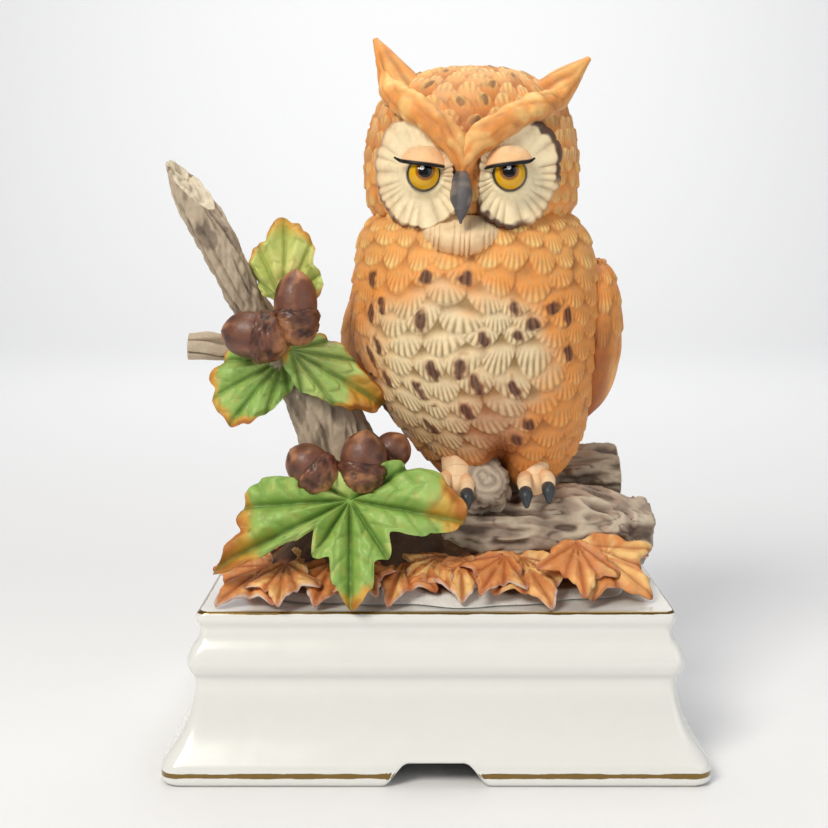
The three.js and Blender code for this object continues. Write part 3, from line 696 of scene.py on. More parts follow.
class OwlColours(bpy.types.PropertyGroup):
    """Paints and glazes."""

    glaze: tone("Glaze", "The plinth's white glaze", 0.89, 0.89, 0.87)
    gilding: tone("Gilding", "The worn gold lines", 0.50, 0.39, 0.15)
    plumage: tone("Plumage", "The body feathers", 0.91, 0.60, 0.30)
    pale_plumage: tone("Pale plumage", "The breast and the feather tips", 0.90, 0.83, 0.67)
    # Painted shade: an olive tint in the hollows of the pale breast.
    breast_wash_and_shade_tone: tone("Cool plumage", "The hollows of the breast", 0.58, 0.49, 0.31)
    light_plumage: tone("Light plumage", "Where the feathers catch the light", 1.0, 0.86, 0.55)
    # Also painted shade: in the hollows, in the parting, and where the wings and feet meet the body.
    deep_plumage_and_shade: tone("Deep plumage", "The lower belly and the hollows", 0.60, 0.31, 0.14)
    # The wash between the feathers, with painted shade under their rims.
    plumage_wash_and_shade: tone("Plumage wash", "The wash between the feathers", 0.50, 0.27, 0.13)
    streak: tone("Streak", "The dark strokes on the breast and the crown", 0.25, 0.13, 0.11)
    face: tone("Face", "The face discs", 0.95, 0.88, 0.72)
    lid: tone("Lid", "The warm tint of the eyelids", 0.94, 0.74, 0.53)
    iris: tone("Iris", "The yellow of the eyes", 0.86, 0.65, 0.05)
    iris_ring: tone("Iris ring", "The darker ring round the pupil", 0.55, 0.31, 0.03)
    pupil: tone("Pupil", "The pupils and the eyes' outline", 0.025, 0.02, 0.02)
    beak: tone("Beak", "The beak", 0.36, 0.35, 0.35)
    talon: tone("Talon", "The talons", 0.16, 0.19, 0.21)
    foot: tone("Foot", "The feet", 0.88, 0.66, 0.47)
    bark: tone("Bark", "The logs", 0.65, 0.57, 0.50)
    pale_bark: tone("Pale bark", "The branch and the rear log", 0.72, 0.65, 0.56)
    cut_wood: tone("Cut wood", "The broken face of the branch", 0.86, 0.81, 0.71)
    # The wash in the bark's grooves and cracks, with painted shade.
    bark_wash_and_shade: tone("Bark wash", "The wash in the grooves of the bark", 0.25, 0.19, 0.15)
    earth: tone("Earth", "The ground", 0.42, 0.29, 0.18)
    green: tone("Green", "The oak leaves", 0.57, 0.71, 0.35)
    light_green: tone("Light green", "The raised parts of the oak leaves", 0.77, 0.84, 0.50)
    young_green: tone("Young green", "The upper leaf", 0.74, 0.78, 0.42)
    lime: tone("Lime", "The raised parts of the upper leaf", 0.90, 0.88, 0.57)
    dark_green: tone("Dark green", "The veins of the oak leaves", 0.29, 0.44, 0.15)
    ochre: tone("Ochre", "The turned rims of the leaves", 0.84, 0.62, 0.24)
    rust: tone("Rust", "The turned tips of the leaves", 0.66, 0.34, 0.13)
    fallen: tone("Fallen leaf", "The fallen leaves", 0.84, 0.54, 0.30)
    acorn: tone("Acorn", "The acorns", 0.42, 0.25, 0.18)
    # Also a painted highlight towards each nut's tip.
    acorn_light: tone("Acorn light", "Where the acorns' brown is thin", 0.70, 0.48, 0.32)
    floor: tone("Floor", "The floor and the backdrop", 0.93, 0.93, 0.93)


class Studio:
    """The settings of a scene, and its materials, each made when it is first asked for."""

    def __init__(self, scene):
        self.sizes = scene.owl_sizes
        self.colours = scene.owl_colours

    def size(self, name):
        return getattr(self.sizes, name) * MM

    def finish(self, name):
        label = "owl_" + name
        return bpy.data.materials.get(label) or getattr(self, name)(label, self.colours)

    def plumage(self, name, c):
        layers = [
            ("light", c.light_plumage, 0.75, 0.5),
            ("pale", c.pale_plumage, 0.95, 0.35),
            ("cool", c.breast_wash_and_shade_tone, 1.0, 0.3),
            ("deep", c.deep_plumage_and_shade, 0.8, 0.5),
            ("streak", c.streak, 0.95, 0.4),
        ]
        return painted(name, c.plumage, layers, c.plumage_wash_and_shade, 0.72, 0.34, 0.55, 0.05)

    def face(self, name, c):
        layers = [
            ("warm", c.lid, 0.9, 0.4),
            ("deep", c.deep_plumage_and_shade, 0.7, 0.5),
            ("streak", c.streak, 0.95, 0.4),
        ]
        return painted(name, c.face, layers, c.plumage_wash_and_shade, 0.5, 0.2, 0.5, 0.04)

    def leaf(self, name, c):
        layers = [
            ("light", c.light_green, 0.95, 0.6),
            ("tip", c.ochre, 0.95, 0.6),
            ("turned", c.rust, 0.75, 0.6),
        ]
        return painted(name, c.green, layers, c.dark_green, 0.75, 0.3, 0.45, 0.05, specular=0.45)

    def lime_leaf(self, name, c):
        layers = [
            ("light", c.lime, 0.9, 0.5),
            ("tip", c.ochre, 0.8, 0.6),
            ("turned", c.rust, 0.55, 0.6),
        ]
        return painted(name, c.young_green, layers, c.dark_green, 0.45, 0.3, 0.45, 0.05, specular=0.45)

    def fallen_leaf(self, name, c):
        layers = [
            ("light", c.light_plumage, 0.7, 0.6),
            ("turned", c.rust, 0.7, 0.6),
            ("slip", c.glaze, 0.6, 0.6),
        ]
        return painted(name, c.fallen, layers, c.deep_plumage_and_shade, 0.6, 0.4, 0.5, 0.06)

    def bark(self, name, c):
        layers = [("light", c.cut_wood, 0.6, 0.6)]
        return painted(name, c.bark, layers, c.bark_wash_and_shade, 0.8, 0.4, 0.6, 0.08)

    def pale_bark(self, name, c):
        layers = [("light", c.cut_wood, 0.45, 0.6), ("cut", c.cut_wood, 0.85, 0.2)]
        return painted(name, c.pale_bark, layers, c.bark_wash_and_shade, 0.7, 0.45, 0.6, 0.1)

    def earth(self, name, c):
        layers = [("light", c.fallen, 0.7, 0.6), ("slip", c.glaze, 0.95, 0.3)]
        return painted(name, c.earth, layers, c.bark_wash_and_shade, 0.8, 0.5, 0.7, 0.12)

    def acorn(self, name, c):
        layers = [("light", c.acorn_light, 0.8, 0.7)]
        return painted(name, c.acorn, layers, c.pupil, 0.65, 0.45, 0.46, 0.08, coat=0.08, specular=0.5)

    def acorn_cup(self, name, c):
        layers = [("light", c.acorn_light, 0.8, 0.7)]
        return painted(name, c.acorn, layers, c.pupil, 0.75, 0.5, 0.45, 0.12, coat=0.15)

    def beak(self, name, c):
        return painted(name, c.beak, [("light", c.bark, 0.5, 0.5)], c.pupil, 0.5, 0.5, 0.5, 0.1)

    def talon(self, name, c):
        return painted(name, c.talon, [("light", c.beak, 0.6, 0.4)], c.pupil, 0.5, 0.4, 0.42, 0.05, coat=0.08)

    def foot(self, name, c):
        layers = [("light", c.face, 0.6, 0.5), ("deep", c.deep_plumage_and_shade, 0.5, 0.5)]
        return painted(name, c.foot, layers, c.plumage_wash_and_shade, 0.6, 0.25, 0.5, 0.04)

    def eye(self, name, c):
        """Rings round the pupil, by distance from it, and a painted highlight on the pupil, under a clear
        glaze.
        """
        material = painted(name, c.iris, (), None, roughness=0.16, bump=0.0, coat=0.3, specular=0.35,
                           mottle=0.12)
        tree = material.node_tree
        far = mark(tree, "gaze")
        colour = linear(c.iris)
        for tint, low, high in ((c.iris_ring, 0.58, 0.48), (c.pupil, 0.39, 0.37)):
            ring = node(tree, "MapRange", Value=far, From_Min=low, From_Max=high)
            colour = mixed(tree, ring.outputs[0], colour, linear(tint))
        rim = node(tree, "MapRange", Value=mark(tree, "rim"), From_Min=0.8, From_Max=0.86)
        colour = mixed(tree, rim.outputs[0], colour, linear(c.pupil))
        # A painted highlight on the pupil.
        glint = node(tree, "MapRange", Value=mark(tree, "glint"), From_Min=0.45, From_Max=0.7)
        colour = mixed(tree, glint.outputs[0], colour, (0.8, 0.8, 0.8, 1))
        grain = next(found for found in tree.nodes if found.type == "GROUP")
        tree.links.new(colour, grain.inputs["Colour"])
        return material

    def lash(self, name, c):
        return painted(name, c.pupil, (), None, roughness=0.4, bump=0.02, mottle=0.4)

    def glaze(self, name, c):
        """White glaze, faintly mottled, and two worn gold lines along the edges."""
        material = painted(name, c.glaze, (), None, mottle=0.03, roughness=0.2, bump=0.0, coat=0.6,
                           specular=0.5)
        tree = material.node_tree
        shader = tree.nodes["Principled BSDF"]
        grain = next(found for found in tree.nodes if found.type == "GROUP")
        worn = speckle(tree, 6.0, 5.0)
        line = maths(tree, "SUBTRACT", mark(tree, "gilt"), maths(tree, "MULTIPLY", worn, 0.9))
        line = node(tree, "MapRange", Value=line, From_Min=0.02, From_Max=0.12).outputs[0]
        tree.links.new(mixed(tree, line, linear(c.glaze), linear(c.gilding)), grain.inputs["Colour"])
        metal = maths(tree, "MULTIPLY", line, 0.75)
        tree.links.new(metal, shader.inputs["Metallic"])
        return material

    def floor(self, name, c):
        return painted(name, c.floor, (), None, mottle=0.02, roughness=0.6, bump=0.0, specular=0.2)


# ---------------------------------------------------------------- the pieces


class OwlPiece:
    """What every operator of this figurine shares."""

    bl_options = {"REGISTER", "UNDO"}


# From the foot up: inset as a share of PLINTH_INSET, and height as a share of the plinth's.
PLINTH_SIDE = [
    (0.082, 0.0), (0.0, 0.03), (0.0, 0.05), (0.0, 0.113), (0.12, 0.157), (0.46, 0.26), (0.68, 0.37),
    (0.83, 0.5), (0.85, 0.587), (0.72, 0.643), (0.66, 0.704), (0.77, 0.774), (0.95, 0.835), (1.0, 0.891),
    (0.92, 0.94), (0.92, 0.98), (1.04, 1.0),
]
PLINTH_INSET = 10.0
PLINTH_CORNER = 5.0
PLINTH_WALL = 4.6
NOTCH_HALF_WIDTH = 14.8
NOTCH_HEIGHT = 6.5
NOTCH_REACH = 16.0  # how high up the side the notch still lifts the rows of points
DRAIN_HOLE = np.array([19.0, -4.0])
DRAIN_RADIUS = 5.0
GILT_LOW = 3.4  # the heights of the two gold lines
GILT_HIGH = 45.75


class OWL_OT_plinth(OwlPiece, bpy.types.Operator):
    """Turns the stepped side of the plinth round a rectangle with round corners, and hollows it"""

    bl_idname = "owl.plinth"
    bl_label = "Plinth"

    def execute(self, context):
        studio = Studio(context.scene)
        low, high = (np.array(corner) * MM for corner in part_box("plinth"))
        half = (high[:2] - low[:2]) / 2
        insets, heights = eased(PLINTH_SIDE, np.linspace(0, 1, 600)).T
        heights = np.maximum.accumulate(heights) * high[2]
        insets = insets * PLINTH_INSET
        # Each column of the rectangle: which way its corner's centre lies, and how far round the corner it
        # is.
        straight = np.linspace(-1, 1, 116)[1:-1]
        short = np.linspace(-1, 1, 50)[1:-1]
        bend = np.linspace(0, 1, 12) * math.pi / 2
        sides = [
            (straight, -1 + 0 * straight, FRONT + 0 * straight), (1 + 0 * bend, -1 + 0 * bend, FRONT + bend),
            (1 + 0 * short, short, 0 * short), (1 + 0 * bend, 1 + 0 * bend, bend),
            (-straight, 1 + 0 * straight, -FRONT + 0 * straight),
            (-1 + 0 * bend, 1 + 0 * bend, -FRONT + bend),
            (-1 + 0 * short, -short, math.pi + 0 * short), (-1 + 0 * bend, -1 + 0 * bend, math.pi + bend),
        ]
        across, deep, facing = (np.concatenate(part) for part in zip(*sides))

        def ring(height, wall=0.0):
            """The rectangle at each height, lifted over the notch where it crosses the front or the back."""
            height = np.atleast_1d(height)[:, None] + 0 * across
            inset = np.interp(height, heights, insets)
            corner = np.clip(PLINTH_CORNER - 0.25 * inset - 0.5 * wall, 1.5, None)
            x = across * (half[0] - inset - wall - corner) + corner * np.cos(facing)
            notch = NOTCH_HEIGHT * rise(NOTCH_HALF_WIDTH - np.abs(x), 0, 7.0) * (np.abs(deep) == 1)
            lifted = notch + height * (NOTCH_REACH - notch) / NOTCH_REACH
            z = np.where(height < NOTCH_REACH, lifted, height)
            inset = np.interp(z, heights, insets)
            x = across * (half[0] - inset - wall - corner) + corner * np.cos(facing)
            y = deep * (half[1] - inset - wall - corner) + corner * np.sin(facing)
            return np.stack([x, y, z], -1)

        outside = ring(np.linspace(0.9, high[2] - 0.5, 92))
        sway = rise(outside[..., 2], 3, 12) * rise(high[2] - outside[..., 2], 0, 1)
        outside[..., :2] *= 1 + 0.0035 * (sway * noise(outside, 26.0, 4))[..., None]
        rim = outside[-1]
        # The roof runs in to the round drain hole, and so does the ceiling under it.
        away = rim[:, :2] - DRAIN_HOLE
        circle = DRAIN_HOLE + DRAIN_RADIUS * away / np.linalg.norm(away, axis=1, keepdims=True)
        shares = np.concatenate([[0.006, 0.02, 0.045], np.linspace(0.08, 0.97, 14), [1.0]])[:, None, None]
        top_xy = rim[None, :, :2] * (1 - shares) + circle * shares
        top = np.concatenate([top_xy, high[2] + 0 * shares * rim[..., :1]], 2)
        top[..., 2] -= 0.3 * rise(shares[..., 0], 0.0, 0.05)[:, 0, None] * (shares[:, 0] < 0.9)
        wall_height = high[2] - PLINTH_WALL
        inside = ring(np.linspace(0.9, wall_height - 1.2, 40), PLINTH_WALL)[::-1]
        inside_rim = inside[0].copy()
        inside_rim[:, 2] = wall_height
        back = np.linspace(1, 0.05, 8)[:, None, None]
        ceiling_xy = inside_rim[None, :, :2] * (1 - back) + circle * back
        ceiling = np.concatenate([ceiling_xy, wall_height + 0 * back * rim[..., :1]], 2)
        foot_out, foot_in = ring(0.15), ring(0.15, PLINTH_WALL)
        foot_out[..., :2] *= 0.994
        grid = np.concatenate([outside, top, ceiling, inside, foot_in, foot_out])
        edge = studio.size("gilding_width")
        z = grid[..., 2]
        low_line = np.exp(-(((z - GILT_LOW) / (0.75 * edge)) ** 2))
        gilt = low_line + np.exp(-(((z - GILT_HIGH) / (0.45 * edge)) ** 2))
        on_side = np.zeros(z.shape)
        on_side[: len(outside) + 1] = 1
        skin = wrapped(grid, looped=True, gilt=gilt * on_side)
        put("plinth_glazed", skin, studio.finish("glaze"), "glaze", "plinth")
        return {"FINISHED"}


class OWL_OT_ground(OwlPiece, bpy.types.Operator):
    """Models the rough mound of earth and the lump that the branch grows from"""

    bl_idname = "owl.ground"
    bl_label = "Ground"

    def execute(self, context):
        studio = Studio(context.scene)
        floor = spot("plinth", 0, 0, 1)[2] + 0.1
        angle = np.linspace(0, TURN, 240, endpoint=False)[None, :]
        share = np.linspace(0, 1, 60)[1:, None] ** 0.8
        uneven = 1 + 0.03 * np.cos(5 * angle + 1) + 0.025 * np.cos(9 * angle) + 0.02 * np.cos(17 * angle)
        squared = (np.abs(np.cos(angle)) ** 3.2 + np.abs(np.sin(angle)) ** 3.2) ** (-1 / 3.2)
        far = share * uneven * squared
        x, y = 59 * far * np.cos(angle), 40 * far * np.sin(angle)
        lump = 27 * np.exp(-(((x + 20) / 19) ** 2) - ((y + 16) / 15) ** 2)
        edge = 1 - share**7
        z = floor + (2.4 + 9.6 * (1 - share**2.2) + lump) * edge
        grid = np.stack([x, y, z + 0 * x], -1)
        bumps = 1.5 * rough(grid, 6.0, 21, 3) + 0.5 * rough(grid, 2.0, 25, 2)
        grid[..., 2] += bumps * edge
        grid[-1, :, 2] = floor
        wash = np.clip(0.5 - bumps, 0, 1)
        light = rise(rough(grid, 9.0, 29), 0.1, 0.8) * (grid[..., 2] < floor + 12)
        slip = rise(floor + 3.2 + 1.6 * noise(grid, 7.0, 24) - grid[..., 2], 0, 1.2)
        skin = wrapped(grid, wash=wash * (1 - slip), light=light, slip=slip)
        put("ground_earth", skin, studio.finish("earth"), "earth", "ground_mound")
        return {"FINISHED"}


# Path, radii, (seed, stretch, lumps and depth of the bark), points round and along, ends, growth and finish.
LOGS = {
    "log_front": (
        [(0.01, 0.69, 0.35), (0.23, 0.47, 0.46), (0.48, 0.41, 0.5), (0.73, 0.5, 0.48), (0.93, 0.66, 0.42)],
        [10.5, 12.4, 13, 12, 10.4], (3, 2.6, 1.5, 1.0), (200, 220), (0.35, 0.3), 0.5, "bark",
    ),
    "log_rear": (
        [(0.08, 0.58, 0.21), (0.37, 0.44, 0.48), (0.70, 0.40, 0.64), (0.97, 0.40, 0.69)],
        [10, 9.3, 8.5, 7.9], (13, 1.1, 0.7, 0.7), (150, 160), (0.2, 0.1), 0.5, "pale_bark",
    ),
    "log_knot": (
        [(0.51, 0.83, 0.10), (0.51, 0.45, 0.37), (0.51, 0.15, 0.61)],
        [8, 7.6, 6.8], (23, 0.8, 0.5, 0.8), (110, 60), (0.2, 0.3), 0.8, "bark",
    ),
}


class OWL_OT_logs(OwlPiece, bpy.types.Operator):
    """Models the two logs and the cut knot, with grooved bark and growth rings on the ends"""

    bl_idname = "owl.logs"
    bl_label = "Logs"

    def execute(self, context):
        studio = Studio(context.scene)
        depth = studio.size("bark_depth")

        def craggy(seed, stretch, lumps, deep):
            """Bark with grooves, lumps, ridges drawn out along X, and thin dark splits between them."""

            def relief(points, t, angle):
                grooves, wash = barked(points, t, angle, deep, stretch, seed=seed)
                swell = lumps * rough(points, 15.0, seed + 40, 2)
                x, y, z = np.moveaxis(points, -1, 0)
                drawn = np.stack([0.3 * x + 0.12 * z, y, z], -1)
                ridges = 1 - np.abs(rough(drawn, 4.6, seed + 60, 3))
                swell = swell + 2.3 * (ridges - 0.65)
                strand = noise(drawn * [1, 1, 1.6], 2.3, seed + 70) + 0.5 * noise(drawn, 6.0, seed + 71)
                split = np.exp(-((strand / 0.11) ** 2)) * rise(noise(points, 7.0, seed + 72), -0.35, 0.3)
                # Darker between the ridges and in the splits: a wash with painted shade.
                wash = np.clip(0.45 * wash + 0.9 * rise(0.6 - ridges, 0, 0.3) + 0.9 * split, 0, 1)
                pale = rise(ridges + 0.35 * rough(points, 8.0, seed + 2), 0.6, 1.0)
                return grooves + swell - 0.5 * split, {"wash": wash, "light": pale}

            return relief

        for name, (path, radii, crags, mesh, ends, growth, finish) in LOGS.items():
            seed, stretch, lumps, deep = crags
            relief = craggy(seed, stretch, lumps, deep * depth)
            skin = limb(spots(name, path), radii, relief, around=mesh[0], along=mesh[1], ends=ends,
                        growth=growth)
            put(name + "_bark", skin, studio.finish(finish), "bark", name)
        return {"FINISHED"}


BRANCH_PATH = [
    (0.85, 0.60, -0.02), (0.76, 0.52, 0.16), (0.68, 0.47, 0.31), (0.56, 0.39, 0.45), (0.43, 0.33, 0.56),
    (0.30, 0.26, 0.68), (0.19, 0.19, 0.81), (0.095, 0.14, 0.92), (0.045, 0.10, 1.03),
]
BRANCH_RADII = [15, 13, 10.6, 8.1, 6.3, 5.5, 5.4, 5.3, 4.4]


class OWL_OT_branch(OwlPiece, bpy.types.Operator):
    """Models the broken branch and its cut stub"""

    bl_idname = "owl.branch"
    bl_label = "Branch"

    def execute(self, context):
        studio = Studio(context.scene)
        depth = studio.size("bark_depth")
        wood = studio.finish("pale_bark")
        shape = tube(spots("branch", BRANCH_PATH), BRANCH_RADII)
        edge_low, edge_high = spot("branch", 0.19, 0.26, 0.93), spot("branch", -0.03, 0.26, 1.035)
        # The broken face is a plane through these two places that also leans towards the front.
        slope = edge_high - edge_low
        facing = np.array([slope[2], 0, -slope[0]]) / np.hypot(slope[0], slope[2])
        facing = facing + np.array([0, -0.5, 0])
        facing = facing / np.linalg.norm(facing)
        angle = np.linspace(0, TURN, 150, endpoint=False)
        tries = np.linspace(0.7, 1, 150)[:, None]
        beyond = (shape(angle + 0 * tries, tries + 0 * angle) - edge_low) @ facing
        last = tries[np.argmax(beyond > 0, axis=0), 0]
        last = np.where((beyond > 0).any(0), last, 1.0)
        t = np.linspace(0, 1, 230)[:, None] * last
        turn = angle + 0 * t
        grooves, wash = barked(shape(turn, t), t, turn, depth, 1.9, seed=33)
        ridges = 1 - np.abs(rough(shape(turn, t) * [1, 1, 0.28], 3.4, 37, 3))
        wash = np.clip(wash + 0.9 * rise(0.64 - ridges, 0, 0.35), 0, 1)
        points = shape(turn, t, grooves + 1.2 * (ridges - 0.65) + 0.9 * noise(shape(turn, t), 16.0, 8))
        middle = points[-1].mean(0)
        shares = np.linspace(0.97, 0.06, 20)[:, None, None]
        face = middle + (points[-1] - middle) * shares
        rings = np.cos(shares * 15 + 1.3 * np.sin(turn[:1, :, None] + 0.6)) * rise(0.9 - shares, 0, 0.2)
        sunk = 0.3 * rings + 0.5 * rough(face, 3.5, 51, 2)[..., None] - 0.8 * np.sin(math.pi * shares)
        face = face + facing * sunk
        face_wash = 0.3 * rise(-rings[..., 0], 0, 1)
        grid = np.concatenate([points, face])
        cut = np.concatenate([0 * wash, 1 + 0 * face_wash])
        flecks = rise(noise(points * [1, 1, 0.4], 1.8, 36), 0.35, 0.8)
        wash = np.concatenate([np.clip(0.9 * wash + 0.6 * flecks, 0, 1), face_wash])
        light = np.concatenate([rise(rough(points, 9.0, 35), 0, 1), 0.9 + 0 * face_wash])
        put("branch_bark", wrapped(grid, wash=wash, light=light, cut=cut), wood, "palebark", "branch")

        def split(points, t, angle):
            """Straight grooves along the stub: where sin 2.5a comes near 0."""
            across = np.abs(np.sin(2.5 * angle + 0.9 * noise(points * [0.4, 1, 1], 4.0, 43)))
            groove = rise(0.34 - across, 0, 0.34)
            swell = depth * (0.5 * noise(points, 5.0, 44) - 0.8 * groove)
            return swell, {"wash": 0.9 * groove, "light": 0.6 * rise(rough(points, 4.0, 45), -0.2, 0.8)}

        stub = spots("branch_stub", [(1.19, 0.57, 0.45), (0.57, 0.48, 0.52), (0.03, 0.38, 0.59)])
        skin = limb(stub, [4.6, 4.1, 3.9], split, around=90, along=90, ends=(0.1, 0.12), growth=0.4)
        put("branch_stub_bark", skin, wood, "palebark", "branch_stub")
        return {"FINISHED"}


FRONT_LEAF = [
    (-10, 33), (12, 26.5), (33, 18), (60, 10), (120, 10), (158, 15), (166, 24.5), (179, 30), (190, 32),
    (196, 31), (202, 36), (208, 41), (214, 31), (218, 20), (223, 13.5), (238, 18.5), (252, 17.5),
    (261, 25), (272, 31), (284, 25), (292, 19), (305, 20), (319, 14.5), (336, 24), (346, 32),
]
UPPER_LEAF = [
    (-41, 12), (-10, 9.2), (11, 7.8), (40, 10.4), (60, 11.6), (72, 13.4), (92, 14.6), (112, 12.2),
    (123, 10.4), (135, 11.4), (158, 11.6), (190, 10), (231, 9.6), (270, 10),
]
LEFT_LEAF = [
    (-46, 9.7), (-18, 9.8), (15, 11.6), (43, 13.2), (90, 8.6), (139, 11.2), (163, 10.8), (188, 13.2),
    (204, 12.4), (219, 14.4), (236, 14), (253, 16), (270, 13), (290, 11),
]
RIGHT_LEAF = [
    (-44, 20.4), (-37, 21), (-6, 10.5), (27, 7.8), (65, 7.9), (105, 9.7), (130, 11.6), (156, 13.6),
    (195, 11.6), (222, 9.9), (252, 9), (286, 11.8), (299, 14.4),
]
UPRIGHT = math.pi / 2


class OWL_OT_leaves(OwlPiece, bpy.types.Operator):
    """Models the four green oak leaves, with veins, puckers and tips that turn orange"""

    bl_idname = "owl.leaves"
    bl_label = "Green leaves"

    def execute(self, context):
        studio = Studio(context.scene)
        depth = studio.size("vein_depth")
        leaves = [
            ("leaf_front", (0.51, 0.68, 0.75), (1.12, 0, 0), FRONT_LEAF,
             (350, 30, 183, 206, 238, 271, 303, 150),
             {"droop": 0.0022, "curl": 0.001, "around": 360, "rings": 56, "seed": 1}, 0.5, "green"),
            ("leaf_upper", (0.52, 0.43, 0.41), (UPRIGHT - 0.1, -0.15, 0.1), UPPER_LEAF,
             (84, 110, 60, 134, 34),
             {"stem": (-2, -9.5), "droop": 0.006, "around": 260, "rings": 40, "seed": 5}, 0.62, "limegreen"),
            ("leaf_left", (0.56, 0.45, 0.60), (UPRIGHT - 0.25, 0, -0.2), LEFT_LEAF, (194, 221, 243, 266, 292),
             {"stem": (6, 7), "droop": 0.008, "around": 260, "rings": 40, "seed": 9}, 0.66, "green"),
            ("leaf_right", (0.41, 0.39, 0.60), (UPRIGHT - 0.2, 0.42, 0.12), RIGHT_LEAF,
             (-34, -56, -14, -80, 8),
             {"stem": (-10, 6), "droop": 0.004, "around": 260, "rings": 44, "seed": 12}, 0.4, "limegreen"),
        ]
        for name, share, turn, outline, veins, form, start, slot in leaves:
            folds = 1.75 * depth if name == "leaf_front" else depth
            skin = leaf(spot(name, *share), turn, outline, veins, depth=folds, **form)
            patch = rough(skin.points, 9.0, form["seed"], 2)
            skin.marks["light"] = rise(patch, -0.5, 0.7) * (1 - skin.marks["tip"])
            turning = skin.marks["tip"] + (0.3 + 0.3 * patch) * skin.marks["edge"] + 0.3 * patch
            skin.marks["tip"] = rise(turning, start, start + 0.4)
            skin.marks["turned"] = rise(turning, start + 0.3, start + 0.7)
            paint = studio.finish("lime_leaf" if name == "leaf_upper" else "leaf")
            put(name + "_veined", skin, paint, slot, name)
        return {"FINISHED"}


FALLEN_LEAF = [
    (0, 9.5), (20, 15), (42, 9.8), (60, 9.6), (76, 12.4), (90, 16), (104, 12.4), (120, 9.6), (138, 9.8),
    (160, 15), (180, 9.5), (225, 8), (270, 7), (315, 8),
]
FALLEN_VEINS = (90, 40, 140, 68, 112)
FALLEN_LAYERS = ((0, 0, 1.05), (-1, 0.7, 0.85), (1, -0.8, 0.8))  # of three leaves: shift, twist, size
# Turns about X, Y and Z, and size.
FALLEN_TURNS = {
    "front_left": (0.42, -0.08, 2.4, 0.95),
    "front_middle_left": (0.44, 0, 2.9, 0.85),
    "front_middle": (0.46, 0, 2.9, 0.85),
    "front_centre": (0.52, 0, math.pi, 0.78),
    "front_middle_right": (0.48, 0, -2.8, 0.98),
    "front_right": (0.6, 0.2, -2.3, 1.15),
    "right": (0, 0.5, -1.5, 0.92),
    "back_right": (-0.44, 0, -0.4, 1),
    "back_middle": (-0.44, 0, 0.15, 1),
    "back_left": (-0.44, 0, 0.5, 1),
    "left": (0, -0.48, 1.5, 0.92),
}


class OWL_OT_fallen_leaves(OwlPiece, bpy.types.Operator):
    """Models the fallen leaves round the mound"""

    bl_idname = "owl.fallen_leaves"
    bl_label = "Fallen leaves"

    def execute(self, context):
        studio = Studio(context.scene)
        paint = studio.finish("fallen_leaf")
        depth = studio.size("vein_depth")
        for seed, (name, (*turn, size)) in enumerate(FALLEN_TURNS.items()):
            node_name = "fallen_leaf_" + name
            middle = spot(node_name, 0.5, 0.5, 0.62)
            skins = []
            inward = np.array([-middle[0], -middle[1], 0]) / np.linalg.norm(middle[:2])
            sideways = np.array([-inward[1], inward[0], 0])
            for layer, (shift, twist, scale) in enumerate(FALLEN_LAYERS):
                lifted = np.array([0, 0, 0.9 + 1.2 * abs(shift)])
                place = middle + inward * (1.6 + 4 * abs(shift)) + sideways * 8.5 * shift + lifted
                skin = leaf(
                    place, (turn[0], turn[1], turn[2] + twist), FALLEN_LEAF, FALLEN_VEINS, stem=(0, -5),
                    droop=0.004,
                    size=0.94 * size * scale, thick=1.6, depth=0.5 * depth, seed=3 * seed + layer, around=144,
                    rings=18,
                )
                patch = rough(skin.points, 8.0, seed + layer, 2)
                luck = DICE[3 * seed + layer]
                skin.marks["light"] = rise(0.7 * patch + luck + 0.9 * skin.marks["streaky"], 0.2, 1.3)
                turning = 0.5 * skin.marks["edge"] + skin.marks["wash"] + 0.3 * patch - 0.5 * luck
                skin.marks["turned"] = rise(turning, 0.1, 0.8)
                skin.marks["slip"] = rise(skin.marks["edge"] + 0.3 * patch, 0.85, 1.2)
                skins.append(skin)
            put(node_name + "_veined", skins, paint, "russet", node_name)
        return {"FINISHED"}


# Where the cup's foot and the nut's tip are, and the radius, in millimetres.
ACORNS = {
    "upper_left": ((-40.6, -31, 118.4), (-59.4, -28.5, 121), 6.6),
    "upper_right": ((-38.6, -29.6, 116.8), (-38.6, -27.6, 138), 6),
    "lower_left": ((-28.6, -35.6, 78.6), (-40.4, -32, 88.4), 6),
    "lower_middle": ((-21, -34.6, 76.4), (-19, -31.4, 93.8), 6.5),
    "lower_right": ((-17, -24, 80.6), (-8.6, -22.5, 91), 5.4),
}
# Profiles: distance out as a share of the radius, and distance along as a share of the acorn's length.
CUP = [
    (0.05, 0.0), (0.5, 0.02), (0.88, 0.13), (1.05, 0.28), (1.1, 0.38), (1.07, 0.45), (0.98, 0.47),
    (0.7, 0.45), (0.05, 0.44),
]
NUT = [
    (0.05, 0.32), (0.8, 0.33), (0.94, 0.42), (1, 0.55), (0.93, 0.71), (0.72, 0.85), (0.36, 0.95),
    (0.12, 0.985), (0.03, 1.0),
]


